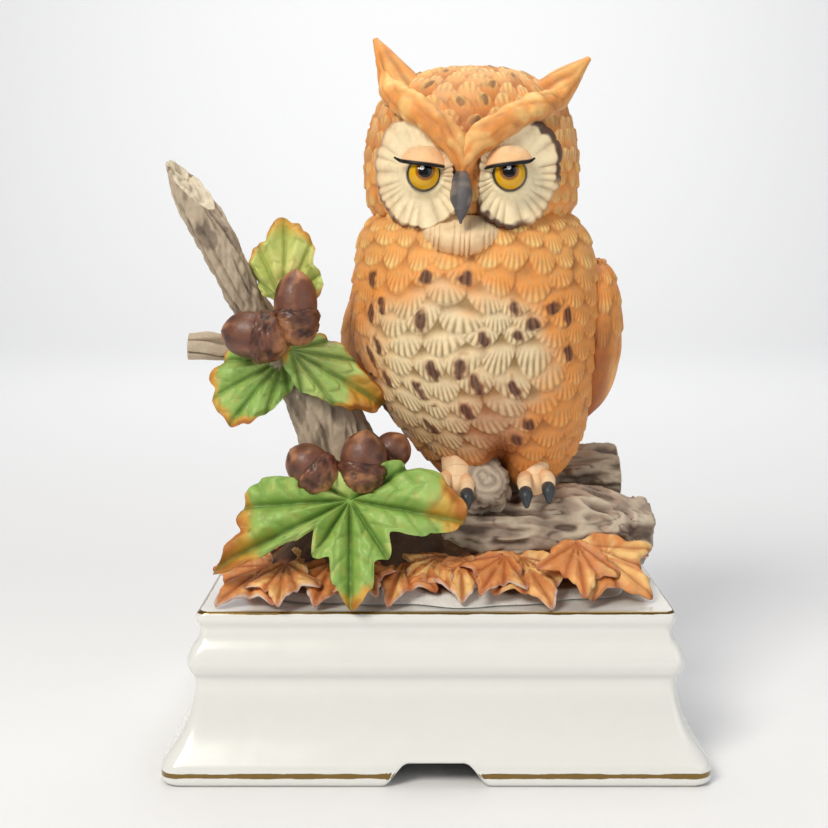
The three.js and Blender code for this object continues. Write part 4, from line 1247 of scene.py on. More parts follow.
class OWL_OT_acorns(OwlPiece, bpy.types.Operator):
    """Turns the acorns and their rough cups about the line from foot to tip"""

    bl_idname = "owl.acorns"
    bl_label = "Acorns"

    def execute(self, context):
        studio = Studio(context.scene)
        for seed, (name, (foot, tip, radius)) in enumerate(ACORNS.items()):
            tall = np.linalg.norm(np.subtract(tip, foot))

            def scaly(out, up, angle):
                ring = np.stack([np.cos(angle) * 5, np.sin(angle) * 5, up], -1)
                swirl = 1.6 * noise(ring, 3.0, seed + 11)
                rows = np.sin(math.pi * up / 1.5 + swirl)
                scales = np.sin(11 * angle + 3 * np.floor(up / 1.5) + swirl) * rows
                change = (0.15 * scales + 0.42 * rough(ring, 1.7, seed)) * rise(out, 0.5, 2.5)
                wash = np.clip(0.35 - 0.35 * scales - 0.9 * rough(ring, 1.7, seed), 0, 1)
                worn = rise(noise(ring, 2.4, seed + 7), 0.1, 0.8)
                return change, {"wash": wash, "light": np.maximum(worn, rise(3.6 - up, 0, 3.0))}

            def smooth(out, up, angle):
                ring = np.stack([np.cos(angle) * 2.2, np.sin(angle) * 2.2, up * 0.16], -1)
                streaks = noise(ring, 0.8, seed + 3)
                worn = noise(ring * [1.6, 1.6, 5.0], 1.4, seed + 5)
                # The nut lightens towards its tip: a painted highlight.
                return 0.06 * streaks + 0.12 * worn, {
                    "wash": rise(-streaks - 0.5 * worn, 0, 1),
                    "light": rise(0.7 * streaks + 0.8 * worn + 0.9 * rise(up, 0.7 * tall, tall), 0.1, 1.1)}

            cup = lathe(foot, tip, [(radius * out, tall * up) for out, up in CUP], 64, scaly)
            nut = lathe(foot, tip, [(radius * out, tall * up) for out, up in NUT], 64, smooth)
            put(f"acorn_cup_{name}_scaly", cup, studio.finish("acorn_cup"), "acorncup", f"acorn_cup_{name}")
            put(f"acorn_nut_{name}_smooth", nut, studio.finish("acorn"), "acornnut", f"acorn_nut_{name}")
        return {"FINISHED"}


BODY_RINGS = [
    (0.0, 0.607, 0.0, 0.474, 0.0, 0.0), (0.015, 0.607, 0.187, 0.474, 0.188, 0.20),
    (0.076, 0.60, 0.274, 0.474, 0.289, 0.296), (0.175, 0.58, 0.348, 0.48, 0.383, 0.376),
    (0.311, 0.54, 0.42, 0.494, 0.462, 0.441), (0.483, 0.505, 0.475, 0.503, 0.495, 0.484),
    (0.656, 0.50, 0.488, 0.509, 0.485, 0.491), (0.816, 0.50, 0.472, 0.517, 0.452, 0.47),
    (0.94, 0.492, 0.43, 0.517, 0.412, 0.42), (1.026, 0.487, 0.29, 0.517, 0.285, 0.29),
    (1.05, 0.487, 0.02, 0.517, 0.02, 0.02),
]
HEAD_RINGS = [
    (-0.02, 0.5, 0.02, 0.485, 0.02, 0.02), (0.015, 0.5, 0.38, 0.485, 0.35, 0.35),
    (0.09, 0.5, 0.472, 0.493, 0.468, 0.456), (0.24, 0.5, 0.492, 0.50, 0.507, 0.49),
    (0.42, 0.5, 0.494, 0.509, 0.507, 0.498), (0.60, 0.5, 0.47, 0.512, 0.474, 0.481),
    (0.78, 0.5, 0.415, 0.515, 0.412, 0.43), (0.91, 0.5, 0.30, 0.519, 0.30, 0.318),
    (0.975, 0.495, 0.15, 0.519, 0.155, 0.172), (0.985, 0.495, 0.01, 0.519, 0.01, 0.01),
]
DISC_OUTLINES = {
    "left": [(0, 8.2), (35, 9.5), (62, 15.5), (95, 15.8), (120, 16.8), (150, 14.8), (180, 13.4), (215, 13.8),
             (245, 15), (275, 15.2), (305, 13.6), (335, 9.6)],
    "right": [(0, 15), (35, 17.2), (60, 17), (85, 15.4), (115, 14.8), (145, 9.6), (180, 8.4), (205, 9.6),
              (235, 13.4), (265, 15), (295, 14.8), (330, 14)],
}
STREAK_COLUMNS = (-15.5, -3.5, 10.0, 23.5, 34.0)  # where the strokes on the breast stand, across the owl


def head_front(x, z):
    """How far forward the head's skin lies at this place: the ellipse of the ring at this height."""
    shape = stack("owl_head", HEAD_RINGS)
    low, high = spot("owl_head", 0, 0, 0)[2], spot("owl_head", 0, 0, 1)[2]
    heights = np.linspace(0, 0.95, 200)
    right, front = shape(0 * heights, heights), shape(FRONT + 0 * heights, heights)
    share = (np.maximum(z, low + 6) - low) / (high - low)
    half = np.interp(share, heights, right[:, 0] - front[:, 0]) + 1.5
    off = (x - front[:, 0].mean()) / half
    return np.interp(share, heights, front[:, 1]) * np.sqrt(np.clip(1 - off**2, 0.02, 1))


def turns_with_front(count, sharpness):
    """Turns once round, closer together at the front: the running sum of a bell-shaped density."""
    even = np.linspace(-math.pi, math.pi, 4000)
    density = 1 + sharpness * np.exp(-((even / 1.25) ** 2))
    summed = np.concatenate([[0], np.cumsum(density)[:-1]])
    return np.interp(np.linspace(0, density.sum(), count, endpoint=False), summed, even) + FRONT


def breast(points):
    """How pale the plumage is: a soft patch over the breast and the belly."""
    x, y, z = np.moveaxis(points, -1, 0)
    low, high = spot("owl_body", 0, 0, 0), spot("owl_body", 1, 1, 1)
    across = (x - (low[0] + 0.42 * (high[0] - low[0]))) / 27
    up = (z - (low[2] + 0.45 * (high[2] - low[2]))) / 25
    return rise(1.25 - across**2 - up**2 + 0.25 * rough(points, 9.0, 61), 0, 0.9) * (y < 0)


class OWL_OT_body(OwlPiece, bpy.types.Operator):
    """Models the body's skin of overlapping feathers, its streaks and the parting between the thighs"""

    bl_idname = "owl.body"
    bl_label = "Body"

    def execute(self, context):
        studio = Studio(context.scene)
        shape = stack("owl_body", BODY_RINGS)
        low, high = (np.array(corner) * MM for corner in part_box("owl_body"))
        height = np.concatenate([[1.045, 1.035], np.linspace(1.02, 0.012, 200)])[:, None]
        turn = turns_with_front(470, 1.6)[None, :]
        grid = shape(turn + 0 * height, height + 0 * turn)
        # Rows of feathers are even along the front of the body, from the neck down.
        fine = np.linspace(1.0, 0.0, 400)
        front = shape(FRONT + 0 * fine, fine)
        walked = np.concatenate([[0], np.cumsum(np.linalg.norm(np.diff(front, axis=0), axis=1))])
        pitch = 0.56 * studio.size("feather_width")
        down = np.interp(-height, -fine, walked) / pitch
        at_row = shape(0 * fine, fine)[:, 0] - shape(math.pi + 0 * fine, fine)[:, 0]
        rows = np.arange(int(walked[-1] / pitch) + 2)
        widths = np.interp(rows + 1.2, walked / pitch, at_row) * math.pi * 0.97
        wanted = studio.size("feather_width") * np.interp(rows, [0, 4], [0.86, 1.0])
        counts = np.round(widths / wanted).astype(int)
        # The rows wander a little, and so do the feathers in them.
        swayed_turn = turn - FRONT + 0.08 * noise(grid, 12.0, 5)
        swayed_down = down + 0.55 * noise(grid, 13.0, 6) + 0.5 * rise(np.abs(turn - FRONT), 0.5, 1.6)
        tiles = feathered(swayed_turn, swayed_down, np.clip(counts, 12, None), seed=1)
        x, y, z = np.moveaxis(grid, -1, 0)
        # The parting between the thighs sinks, and is darkened with painted shade.
        parting = np.exp(-(((x - 18.5) / 3.6) ** 2)) * rise(94 - z, 0, 12) * (y < 0)
        fade = rise(z, 74, 84)
        relief = studio.size("feather_rise") * (tiles["relief"] - 0.45) * (0.35 + 0.65 * fade) - 5.5 * parting
        grid = raised(grid, relief)
        luck = tiles["luck"]
        pale = breast(grid)
        belly = np.exp(-(((x - 15) / 13) ** 2) - ((z - 93) / 14) ** 2) * (y < 0)
        middle = shape(tiles["middle"] + FRONT, height + 0 * turn)[..., 0]
        near = np.min([np.abs(middle - column) for column in STREAK_COLUMNS], axis=0)
        rarer = 0.22 + 0.3 * rise(middle, 27, 33)
        chosen = (near < 3.5) & (luck > rarer) & (tiles["row"] > 2) & (tiles["row"] < 12) & (y < 0)
        streak = chosen * stroke(tiles, grid) * (0.72 + 0.28 * tiles["ridge"])
        halo = chosen * stroke(tiles, grid, 0.44, 0.36)
        # Painted highlight on the feather crests, stronger over the upper chest.
        catch = rise(tiles["crest"], 0.6, 1.0) * (0.35 + 0.5 * luck)
        upper = rise(z, 128, 146)
        shaded = 1.15 * belly * (0.5 + 0.6 * (1 - tiles["crest"]))
        # The wash mark holds painted shade under the feather rims and in the parting; the pale breast's
        # hollows take an olive painted shade.
        marks = {
            "wash": np.clip(tiles["wash"] * fade * (1 - 0.75 * pale) + 0.7 * parting, 0, 1),
            "pale": pale * np.clip(0.45 + tiles["crest"], 0, 1),
            "cool": np.clip(1.5 * pale * tiles["wash"], 0, 1),
            "light": np.clip(catch * (0.6 + 0.8 * upper) + 0.5 * upper * tiles["crest"], 0, 1),
            "deep": np.clip(shaded + parting + 0.55 * halo, 0, 1),
            "streak": streak,
        }
        put("owl_body_feathered", wrapped(grid, **marks), studio.finish("plumage"), "plumage", "owl_body")
        return {"FINISHED"}


class OWL_OT_head(OwlPiece, bpy.types.Operator):
    """Models the head, with feathers that sweep back over the crown and down the cheeks and the nape"""

    bl_idname = "owl.head"
    bl_label = "Head"

    def execute(self, context):
        studio = Studio(context.scene)
        shape = stack("owl_head", HEAD_RINGS)
        height = np.concatenate([np.linspace(0.984, 0.9, 40), np.linspace(0.895, -0.01, 130)])[:, None]
        turn = turns_with_front(420, 1.0)[None, :]
        grid = shape(turn + 0 * height, height + 0 * turn)
        fine = np.linspace(0.984, -0.02, 400)
        side = shape(FRONT + 0 * fine, fine)
        walked = np.concatenate([[0], np.cumsum(np.linalg.norm(np.diff(side, axis=0), axis=1))])
        pitch = 4.6
        down = np.interp(-height, -fine, walked) / pitch + 0 * turn
        widths = shape(0 * fine, fine)[:, 0] - shape(math.pi + 0 * fine, fine)[:, 0]
        rows = np.arange(int(walked[-1] / pitch) + 2)
        girth = np.interp(rows, walked / pitch, widths) * math.pi
        counts = np.clip(np.round(girth / 6.4), 6, None).astype(int)
        falling = feathered(turn - FRONT + 0 * height, down, counts, seed=7)
        x, y, z = np.moveaxis(grid, -1, 0)
        rows_up = len(counts)
        swayed_turn = turn - FRONT + 0.1 * noise(grid, 9.0, 15)
        swayed_up = rows_up - down + 0.4 * noise(grid, 10.0, 16)
        rising = feathered(swayed_turn, swayed_up, counts[::-1], grooves=1.6, seed=9, wide=0.6)
        crown = (y < -1.5) & (z > 168)
        tiles = {name: np.where(crown, rising[name], falling[name]) for name in rising}
        relief = studio.size("crown_rise") * (tiles["relief"] - 0.4) * rise(0.984 - height, 0.0, 0.02)
        grid = raised(grid, relief)
        luck = tiles["luck"]
        streak = 0.62 * (crown & (luck > 0.68) & (np.abs(x - 10) < 17)) * stroke(tiles, grid, 0.34, 0.2)
        # Painted highlight on the feather crests and over the top of the head.
        catch = rise(tiles["crest"], 0.45, 0.9)
        # Painted shade between the eyes.
        between = np.exp(-(((x - 7) / 9) ** 2) - ((z - 172) / 7) ** 2) * (y < 0)
        marks = {
            "wash": tiles["wash"] * 0.85,
            "light": np.clip(catch * (0.5 + 0.6 * luck) + 0.3 * rise(z, 186, 196), 0, 1),
            "pale": 0.3 * (1 - luck) * crown,
            "deep": 0.4 * rise(luck, 0.55, 0.75) * crown + 0.5 * between,
            "streak": streak,
        }
        put("owl_head_feathered", wrapped(grid, **marks), studio.finish("plumage"), "plumage", "owl_head")
        return {"FINISHED"}


EAR_RADII = [10.4, 8.2, 5.6, 3.3, 1.2]
BROW_RADII = [2.0, 3.4, 4.1, 4.2, 3.4, 2.4, 0.9]


class OWL_OT_crest(OwlPiece, bpy.types.Operator):
    """Models the ear tufts, the brows and the tuft of the chin"""

    bl_idname = "owl.crest"
    bl_label = "Ear tufts, brows and chin"

    def execute(self, context):
        studio = Studio(context.scene)
        plumage = studio.finish("plumage")

        def tufted(seed, inner):
            def relief(points, t, angle):
                waves = np.sin(6 * angle + 5 * t + 1.4 * noise(points, 6.0, seed + 2))
                locks = waves * rise(0.95 - t, 0, 0.5)
                bumps = rough(points, 4.5, seed, 2)
                # The inner side is the ear's paler colour; raised bumps are painted lighter and sunk ones
                # darker, as painted highlight and shade.
                catch = rise(np.cos(angle - inner), 0.1, 0.9)
                return 0.45 * locks + 0.45 * bumps * (1 - t), {
                    "wash": np.clip(-0.7 * locks, 0, 1),
                    "light": np.clip(0.2 + 0.6 * catch + 0.4 * bumps, 0, 1),
                    "pale": 0.5 * catch * rise(locks, -0.2, 1),
                    "deep": 0.25 * rise(-bumps, 0, 1),
                }

            return relief

        left = [(1.1, 0.5, -0.36), (0.72, 0.54, 0.1), (0.45, 0.6, 0.45), (0.22, 0.68, 0.75),
                (0.06, 0.75, 0.97)]
        right = [(-0.26, 0.49, -0.3), (0.2, 0.52, 0.16), (0.5, 0.58, 0.47), (0.76, 0.68, 0.74),
                 (0.97, 0.74, 0.95)]
        for name, path, inner in (("ear_tuft_left", left, 0.4), ("ear_tuft_right", right, 2.7)):
            skin = limb(spots(name, path), EAR_RADII, tufted(71, inner), 0.8, around=96, ends=(0.4, 0.9))
            put(name + "_locks", skin, plumage, "plumage", name)

        def ridged(seed):
            def relief(points, t, angle):
                strand = np.abs(np.sin(3 * angle + 12 * t + 1.6 * noise(points, 7.0, seed)))
                bumps = rough(points, 4.4, seed, 2)
                change = 0.4 * (strand**0.5 - 0.7) + 0.7 * bumps
                # Painted highlight on the raised strands and along the brow's upper side.
                catch = rise(0.5 * strand + bumps, 0.3, 1.1) * 0.7 + 0.5 * rise(np.sin(angle), 0.5, 1)
                return change, {
                    "wash": np.clip(0.45 * (0.5 - strand) - 0.5 * bumps, 0, 1),
                    "deep": 0.45 * rise(1 - t, 0.4, 1.0),
                    "light": np.clip(catch, 0, 1),
                    "pale": 0.55 * rise(-np.sin(angle), 0.35, 0.95) * rise(t, 0.15, 0.5),
                }

            return relief

        left = [(0.96, 0.13, -0.06), (0.82, 0.13, 0.26), (0.56, 0.27, 0.52), (0.29, 0.6, 0.72),
                (0.12, 0.96, 0.86),
                (0.01, 1.13, 1.06), (-0.07, 1.27, 1.32)]
        right = [(0.0, 0.13, -0.04), (0.11, 0.14, 0.27), (0.36, 0.27, 0.52), (0.68, 0.58, 0.71),
                 (0.89, 0.99, 0.85),
                 (1.045, 1.17, 1.04), (1.17, 1.3, 1.23)]
        for name, path in (("brow_left", left), ("brow_right", right)):
            skin = limb(spots(name, path), BROW_RADII, ridged(77), around=84, along=170, ends=(0.7, 0.9))
            put(name + "_ridge", skin, plumage, "plumage", name)

        # The chin's tuft hangs as a fringe of rounded locks: a thick lens that is wrapped round the neck.
        centre = spot("chin_tuft", 0.5, 0.5, 0.16)
        across = np.linspace(-1, 1, 160)[None, :]
        down = np.linspace(0, 1, 60)[:, None]
        lock = np.abs(np.cos(5.5 * math.pi * (across + 0.09 * np.sin(9 * across) + 0.05 * down)))
        drop = 10.6 * np.sqrt(1 - 0.8 * across**2) + 0.8 * lock * (1 + 0.5 * np.sin(17 * across))
        closing = np.clip((down - 0.55) / 0.45, 0, 1)
        swell = rise(down, -0.1, 0.55) * np.sqrt(1 - 0.96 * closing**2) * np.sqrt(1 - 0.9 * across**2)
        x = centre[0] + 11.4 * across + 0 * down
        z = centre[2] + 7.4 - 0.8 * across**2 - drop * down
        wrap = centre[1] + 4.2 * across**2
        outer = wrap + 1.8 - 7.2 * swell - 0.55 * (lock**0.6) * rise(down, 0.08, 0.6)
        inner = wrap + 3.0 + 0 * swell
        front, back = np.stack([x, outer, z], -1), np.stack([x, inner, z], -1)
        grid = np.concatenate([front, back[:, ::-1]], 1)
        groove = (1 - lock) ** 3 * rise(down, 0.05, 0.3)
        wash = np.concatenate([groove + 0 * x, 0 * x], 1)
        warm = np.concatenate([0.4 + 0.6 * rise(down, 0.3, 1.0) + 0 * x, 0 * x], 1)
        skin = wrapped(grid, wash=0.8 * wash, warm=0.8 * warm)
        put("chin_tuft_locks", skin, studio.finish("face"), "face", "chin_tuft")
        return {"FINISHED"}


class OWL_OT_face(OwlPiece, bpy.types.Operator):
    """Models the two face discs, with rays that fan out from the eyes, and the beak"""

    bl_idname = "owl.face"
    bl_label = "Face discs and beak"

    def execute(self, context):
        studio = Studio(context.scene)
        for side, outline in DISC_OUTLINES.items():
            disc, eye = "face_disc_" + side, "eye_" + side
            middle = spot(eye, 0.5, 0.5, 0.5)
            turn = np.linspace(0, TURN, 312, endpoint=False)[None, :]
            share = np.concatenate([np.linspace(0.06, 0.9, 48), np.linspace(0.915, 1.0, 9)])[:, None]
            rays = 13 * (turn + 0.09 * np.sin(3 * turn + 1) + 0.05 * np.sin(7 * turn))
            ridge = np.abs(np.cos(rays)) ** 0.5
            luck = noise(np.stack([np.cos(turn) * 3, np.sin(turn) * 3, 0 * turn], -1), 0.6, 17)
            far = reach_of(outline, np.degrees(turn)) * (1 + 0.035 * ridge - 0.025 + 0.02 * luck)
            x = middle[0] + share * far * np.cos(turn)
            z = middle[2] + share * far * np.sin(turn)
            fade = rise(share, 0.42, 0.8) * (1 - 0.75 * rise(np.sin(turn), 0.35, 0.85))
            dish = 2.1 - 1.5 * np.sin(math.pi * np.clip(share, 0, 1) ** 1.25) ** 2 + 0.35 * share**3
            lids = 0.8 * np.exp(-(((share * far - 5.4) / 1.0) ** 2))
            proud = dish + lids - studio.size("disc_groove") * (1 - ridge) * fade
            proud = proud - 2.7 * rise(share, 0.92, 1.0) ** 1.5
            y = head_front(x, z) - proud
            # Towards the beak the disc runs up against the bridge of the nose.
            bridge = np.exp(-(((x - 7) / 4.5) ** 2)) * rise(z, 146, 158) * rise(176 - z, 0, 8)
            y = y - 1.6 * bridge
            front = np.stack([x, y, z], -1)
            back = np.stack([x, head_front(x, z) + 1.5 + 0 * y, z], -1)[::-3]
            wash = np.clip((1 - ridge) * 1.1 * fade, 0, 1)
            outer = rise(np.cos(turn) * (1 if side == "right" else -1), 0.1, 0.8)
            frayed = 0.04 * noise(front, 2.4, 19)
            if side == "right":
                band = rise(share + frayed, 0.83, 0.88) * rise(np.cos(turn - 0.52), 0.72, 0.86)
                under = rise(share + 2 * frayed, 0.84, 0.92) * rise(np.cos(turn + 1.85), 0.7, 0.9)
                band = np.maximum(band, under)
            else:
                ticks = 0.5 + 0.5 * rise(np.cos(26 * turn), 0, 0.8)
                band = 0.85 * ticks * rise(share + 1.5 * frayed, 0.92, 0.97)
                band = band * rise(np.cos(turn - 4.1), 0.6, 0.85)
            shade = np.exp(-(((x - 7) / 5.5) ** 2)) * rise(z, 160, 166) * 0.8
            above = 0.5 * rise(0.62 - share, 0, 0.4) * rise(np.sin(turn), -0.2, 0.7)
            marks = {
                "wash": wash,
                "streak": band,
                "deep": np.clip(shade + 0.7 * rise(share, 0.93, 0.99), 0, 1),
                "warm": rise(share, 0.7, 1.0) * 0.35 * outer + above,
            }
            # The back has every third row of the front, in reverse.
            both = {name: values + 0 * x for name, values in marks.items()}
            both = {name: np.concatenate([values, values[::-3]]) for name, values in both.items()}
            skin = wrapped(np.concatenate([front, back]), **both)
            put(disc + "_rays", skin, studio.finish("face"), "face", disc)

        def faceted(points, t, angle):
            facets = np.cos(3 * angle + 0.5)
            change = 0.22 * facets * rise(1 - t, 0.1, 0.5) + 0.22 * noise(points, 1.8, 5)
            return change, {"wash": rise(-facets, 0, 1) * 0.4, "light": rise(noise(points, 2.2, 6), 0, 0.8)}

        path = [(0.52, 0.8, 0.8), (0.52, 0.48, 0.58), (0.5, 0.3, 0.34), (0.48, 0.24, 0.1),
                (0.46, 0.28, -0.12)]
        skin = limb(spots("beak", path), [1.8, 2.7, 2.8, 1.8, 0.5], faceted, ends=(0.6, 0.9))
        put("beak_horn", skin, studio.finish("beak"), "beak", "beak")
        return {"FINISHED"}


EYE_RADIUS = 4.9
LID_HALF = (7.3, 5.7, 8.4)  # the half sizes of the ellipsoid that a lid is part of
LID_HOLLOW = 0.86  # the lid's inside, as a share of its outside
LASH_RADII = (0.3, 0.42, 0.5, 0.52, 0.5, 0.28)


class OWL_OT_eyes(OwlPiece, bpy.types.Operator):
    """Models the glazed eyes, the heavy lids and the lash lines"""

    bl_idname = "owl.eyes"
    bl_label = "Eyes and lids"

    def execute(self, context):
        studio = Studio(context.scene)
        for name, outer in (("left", -1), ("right", 1)):
            eye = "eye_" + name
            centre = spot(eye, 0.5, 0.5, 0.5)
            centre[1] = head_front(centre[0], centre[2]) - 0.9
            ball = bulb(centre, (EYE_RADIUS, EYE_RADIUS, EYE_RADIUS))
            height = np.linspace(0.02, 0.98, 70)[:, None]
            turn = np.linspace(0, TURN, 120, endpoint=False)[None, :]
            grid = ball(turn + 0 * height, height + 0 * turn)
            off = grid - centre
            pupil = np.hypot(off[..., 0] + 0.35 * outer, off[..., 2] - 0.75)
            # The glint mark is a painted highlight on the upper pupil.
            marks = {
                "gaze": np.where(off[..., 1] < 0, pupil / 5, 1.0),
                "rim": np.hypot(off[..., 0], off[..., 2] + 0.1) / EYE_RADIUS,
                "glint": rise(0.8 - np.hypot(off[..., 0] + 0.5, off[..., 2] - 1.5), 0, 0.4)
                * (off[..., 1] < 0),
            }
            put(eye + "_glazed", wrapped(grid, **marks), studio.finish("eye"), "iris", eye)

            # The lid is a dome over the upper part of the eye. Its edge slopes down towards the beak.
            across = np.linspace(-1, 1, 90)[None, :]
            up = np.linspace(0, 1, 44)[:, None]
            swing = 1.35 * across
            edge = 0.4 + 0.15 * across * outer
            tilt = edge + (1.75 - edge) * up
            outside = np.stack([
                centre[0] + LID_HALF[0] * np.sin(swing) * np.cos(0.86 * tilt),
                centre[1] + 0.2 - LID_HALF[1] * np.cos(swing) * np.cos(tilt),
                centre[2] + LID_HALF[2] * (np.sin(tilt) - 0.1),
            ], -1)
            inside = centre + (outside - centre) * LID_HOLLOW
            grid = np.concatenate([outside, inside[:, ::-1]], 1)
            warm = np.concatenate([0.35 + 0.65 * rise(0.8 - up, 0, 0.6) + 0 * across, 0 * (up + across)], 1)
            line = np.concatenate([rise(0.075 - up, 0, 0.03) + 0 * across, 0 * (up + across)], 1)
            lid = "eyelid_" + name
            put(lid + "_dome", wrapped(grid, warm=warm, streak=line), studio.finish("face"), "face", lid)
            # The lash line runs along the lid's edge, out from the beak, and ends in a flick.
            rim = outside[0, ::18][::outer]
            flick = rim[-1] + np.array([1.6 * outer, 1.2, 0.9])
            lash = np.concatenate([rim, [flick]]) + np.array([0, -0.25, 0])
            skin = limb(lash, LASH_RADII, around=16, along=60, ends=(0.8, 0.9))
            put("lash_" + name, skin, studio.finish("lash"), "iris")
        return {"FINISHED"}


class OWL_OT_wings(OwlPiece, bpy.types.Operator):
    """Models the folded wings, with scalloped coverts above long flight feathers, and the tail"""

    bl_idname = "owl.wings"
    bl_label = "Wings and tail"

    def execute(self, context):
        studio = Studio(context.scene)
        plumage = studio.finish("plumage")
        wings = [
            ("wing_left", (0.71, 0.47, 0.54), (7.0, 19, 23.5), (0.12, 0.2, 0.16), -1),
            ("wing_right", (0.40, 0.45, 0.49), (8.8, 19, 25.0), (0.12, 0.05, -0.1), 1),
        ]
        for name, share, half, turn, side in wings:
            shape = bulb(spot(name, *share), half, turn)
            height = np.linspace(0.985, 0.015, 150)[:, None]
            angle = np.linspace(0, TURN, 220, endpoint=False)[None, :]
            grid = shape(angle + 0 * height, height + 0 * angle)
            grid[..., 0] -= 4.5 * side * rise(0.5 - height, 0, 0.5) ** 2
            down = (1 - height) * 2 * half[2] / 6.4
            counts = np.clip(np.round(np.sin(math.pi * np.linspace(0.03, 1, 9)) * 13), 7, None).astype(int)
            tiles = feathered(angle + 0 * height, down + 0 * angle, counts, seed=31 + side)
            coverts = rise(height, 0.42, 0.5)
            lane = 6 * (angle + 0.25 * side) / TURN + 0.5 * np.sin(3 * height)
            flight = np.abs(np.sin(math.pi * lane)) ** 0.5
            relief = coverts * (tiles["relief"] - 0.4) + (1 - coverts) * 0.5 * (flight - 0.8)
            relief = studio.size("wing_rise") * relief * rise(np.minimum(height, 1 - height), 0, 0.06)
            # Painted shade on the inner side next to the body; painted highlight on the covert crests and the
            # outer flight feathers.
            inner = rise((spot(name, *share)[0] + 3.6 * side - grid[..., 0]) * side, -2.0, 2.6)
            lower_light = (1 - coverts) * 0.35 * rise(-inner, -0.6, 0)
            marks = {
                "wash": coverts * tiles["wash"] + (1 - coverts) * 0.7 * rise(0.5 - flight, 0, 0.5),
                "light": rise(tiles["crest"], 0.6, 1) * coverts * 0.7 + lower_light,
                "deep": 0.95 * inner * rise(0.72 - height, 0, 0.2),
            }
            put(name + "_feathered", wrapped(raised(grid, relief), **marks), plumage, "plumage", name)

        def long_feathers(points, t, angle):
            lane = np.abs(np.sin(4.5 * angle)) ** 0.5
            marks = {"wash": rise(0.55 - lane, 0, 0.5), "light": 0.4 * rise(lane, 0.7, 1.0)}
            return lane - 0.7, marks

        path = spots("tail", [(0.48, 0.11, 0.95), (0.50, 0.39, 0.62), (0.51, 0.62, 0.30), (0.53, 0.74, 0.05)])
        skin = limb(path, [12, 13, 12.6, 10], long_feathers, flat=0.36, around=150, along=110,
                    ends=(0.3, 0.4))
        put("tail_feathered", skin, plumage, "plumage", "tail")
        return {"FINISHED"}


class OWL_OT_feet(OwlPiece, bpy.types.Operator):
    """Models the feet and the talons"""

    bl_idname = "owl.feet"
    bl_label = "Feet"

    def execute(self, context):
        studio = Studio(context.scene)
        feet = {
            "left": ((0.58, 0.73, 0.68), ((0.24, 0.08, 0.18), (0.76, 0.06, 0.14))),
            "right": ((0.50, 0.86, 0.80), ((0.24, 0.06, 0.17), (0.76, 0.16, 0.26))),
        }
        for side, (ankle, toes) in feet.items():
            name = "foot_" + side
            heel = spot(name, *ankle)

            def creased(points, t, angle):
                crease = np.abs(np.sin(4.5 * math.pi * t + 0.5 * np.sin(angle))) ** 0.5
                swell = 0.1 * (crease - 0.7) + 0.3 * noise(points, 3.0, 3)
                # Darker near the body, where each leg and toe starts, as painted shade, and paler towards the
                # tips.
                return swell, {
                    "wash": 0.6 * rise(0.5 - crease, 0, 0.5),
                    "light": rise(t, 0.1, 0.8),
                    "deep": rise(0.35 - t, 0, 0.3),
                }

            leg = [heel + [0, 3, 6], heel, heel + [0, -4, -5.5]]
            skins = [limb(leg, [5.6, 4.5, 3.5], creased, around=60, along=50, ends=(0.3, 0.8))]
            for number, toe in enumerate(toes, 1):
                tip = spot(name, *toe)
                start = heel + [0.5 * (tip[0] - heel[0]), -1, -3.4]
                toe_path = [start, tip + [0, 4, 3.0], tip + [0, 0.4, 0.6]]
                skins.append(limb(toe_path, [2.4, 2.2, 1.65], creased, around=48, along=60, ends=(0.3, 0.9)))
                claw = [tip + [0, 0.6, 0.9], tip + [0, -1.8, 0.1], tip + [0, -3.0, -2.4]]
                horn = limb(claw, [1.85, 1.8, 0.8], around=36, along=40, ends=(0.5, 0.9), light=0.3)
                talon = f"talon_{side}_{number}"
                put(talon + "_horn", horn, studio.finish("talon"), "talon", talon)
            put(name + "_creased", skins, studio.finish("foot"), "foot", name)
        return {"FINISHED"}


# Place and width in metres, power in watts, colour, and what it aims at: the figurine's middle if None.
LIGHTS = {
    "key_light": ((-0.55, -0.85, 0.95), 0.45, 12.5, (1.0, 0.95, 0.87), None),
    "fill_light": ((0.85, -0.75, 0.45), 0.9, 2.6, (1.0, 1.0, 1.0), None),
    "top_light": ((0.05, 0.25, 1.1), 0.8, 5.0, (1.0, 1.0, 1.0), None),
    "backdrop_light": ((0, 0.8, 1.7), 1.6, 30.0, (1.0, 1.0, 1.0), (0, 3.0, 0.9)),
}
CAMERA_PLACE = (-0.006, -0.388, 0.145)
CAMERA_PITCH = 7.49  # degrees down
CAMERA_LENS = 56.52
CAMERA_SENSOR = 36.0


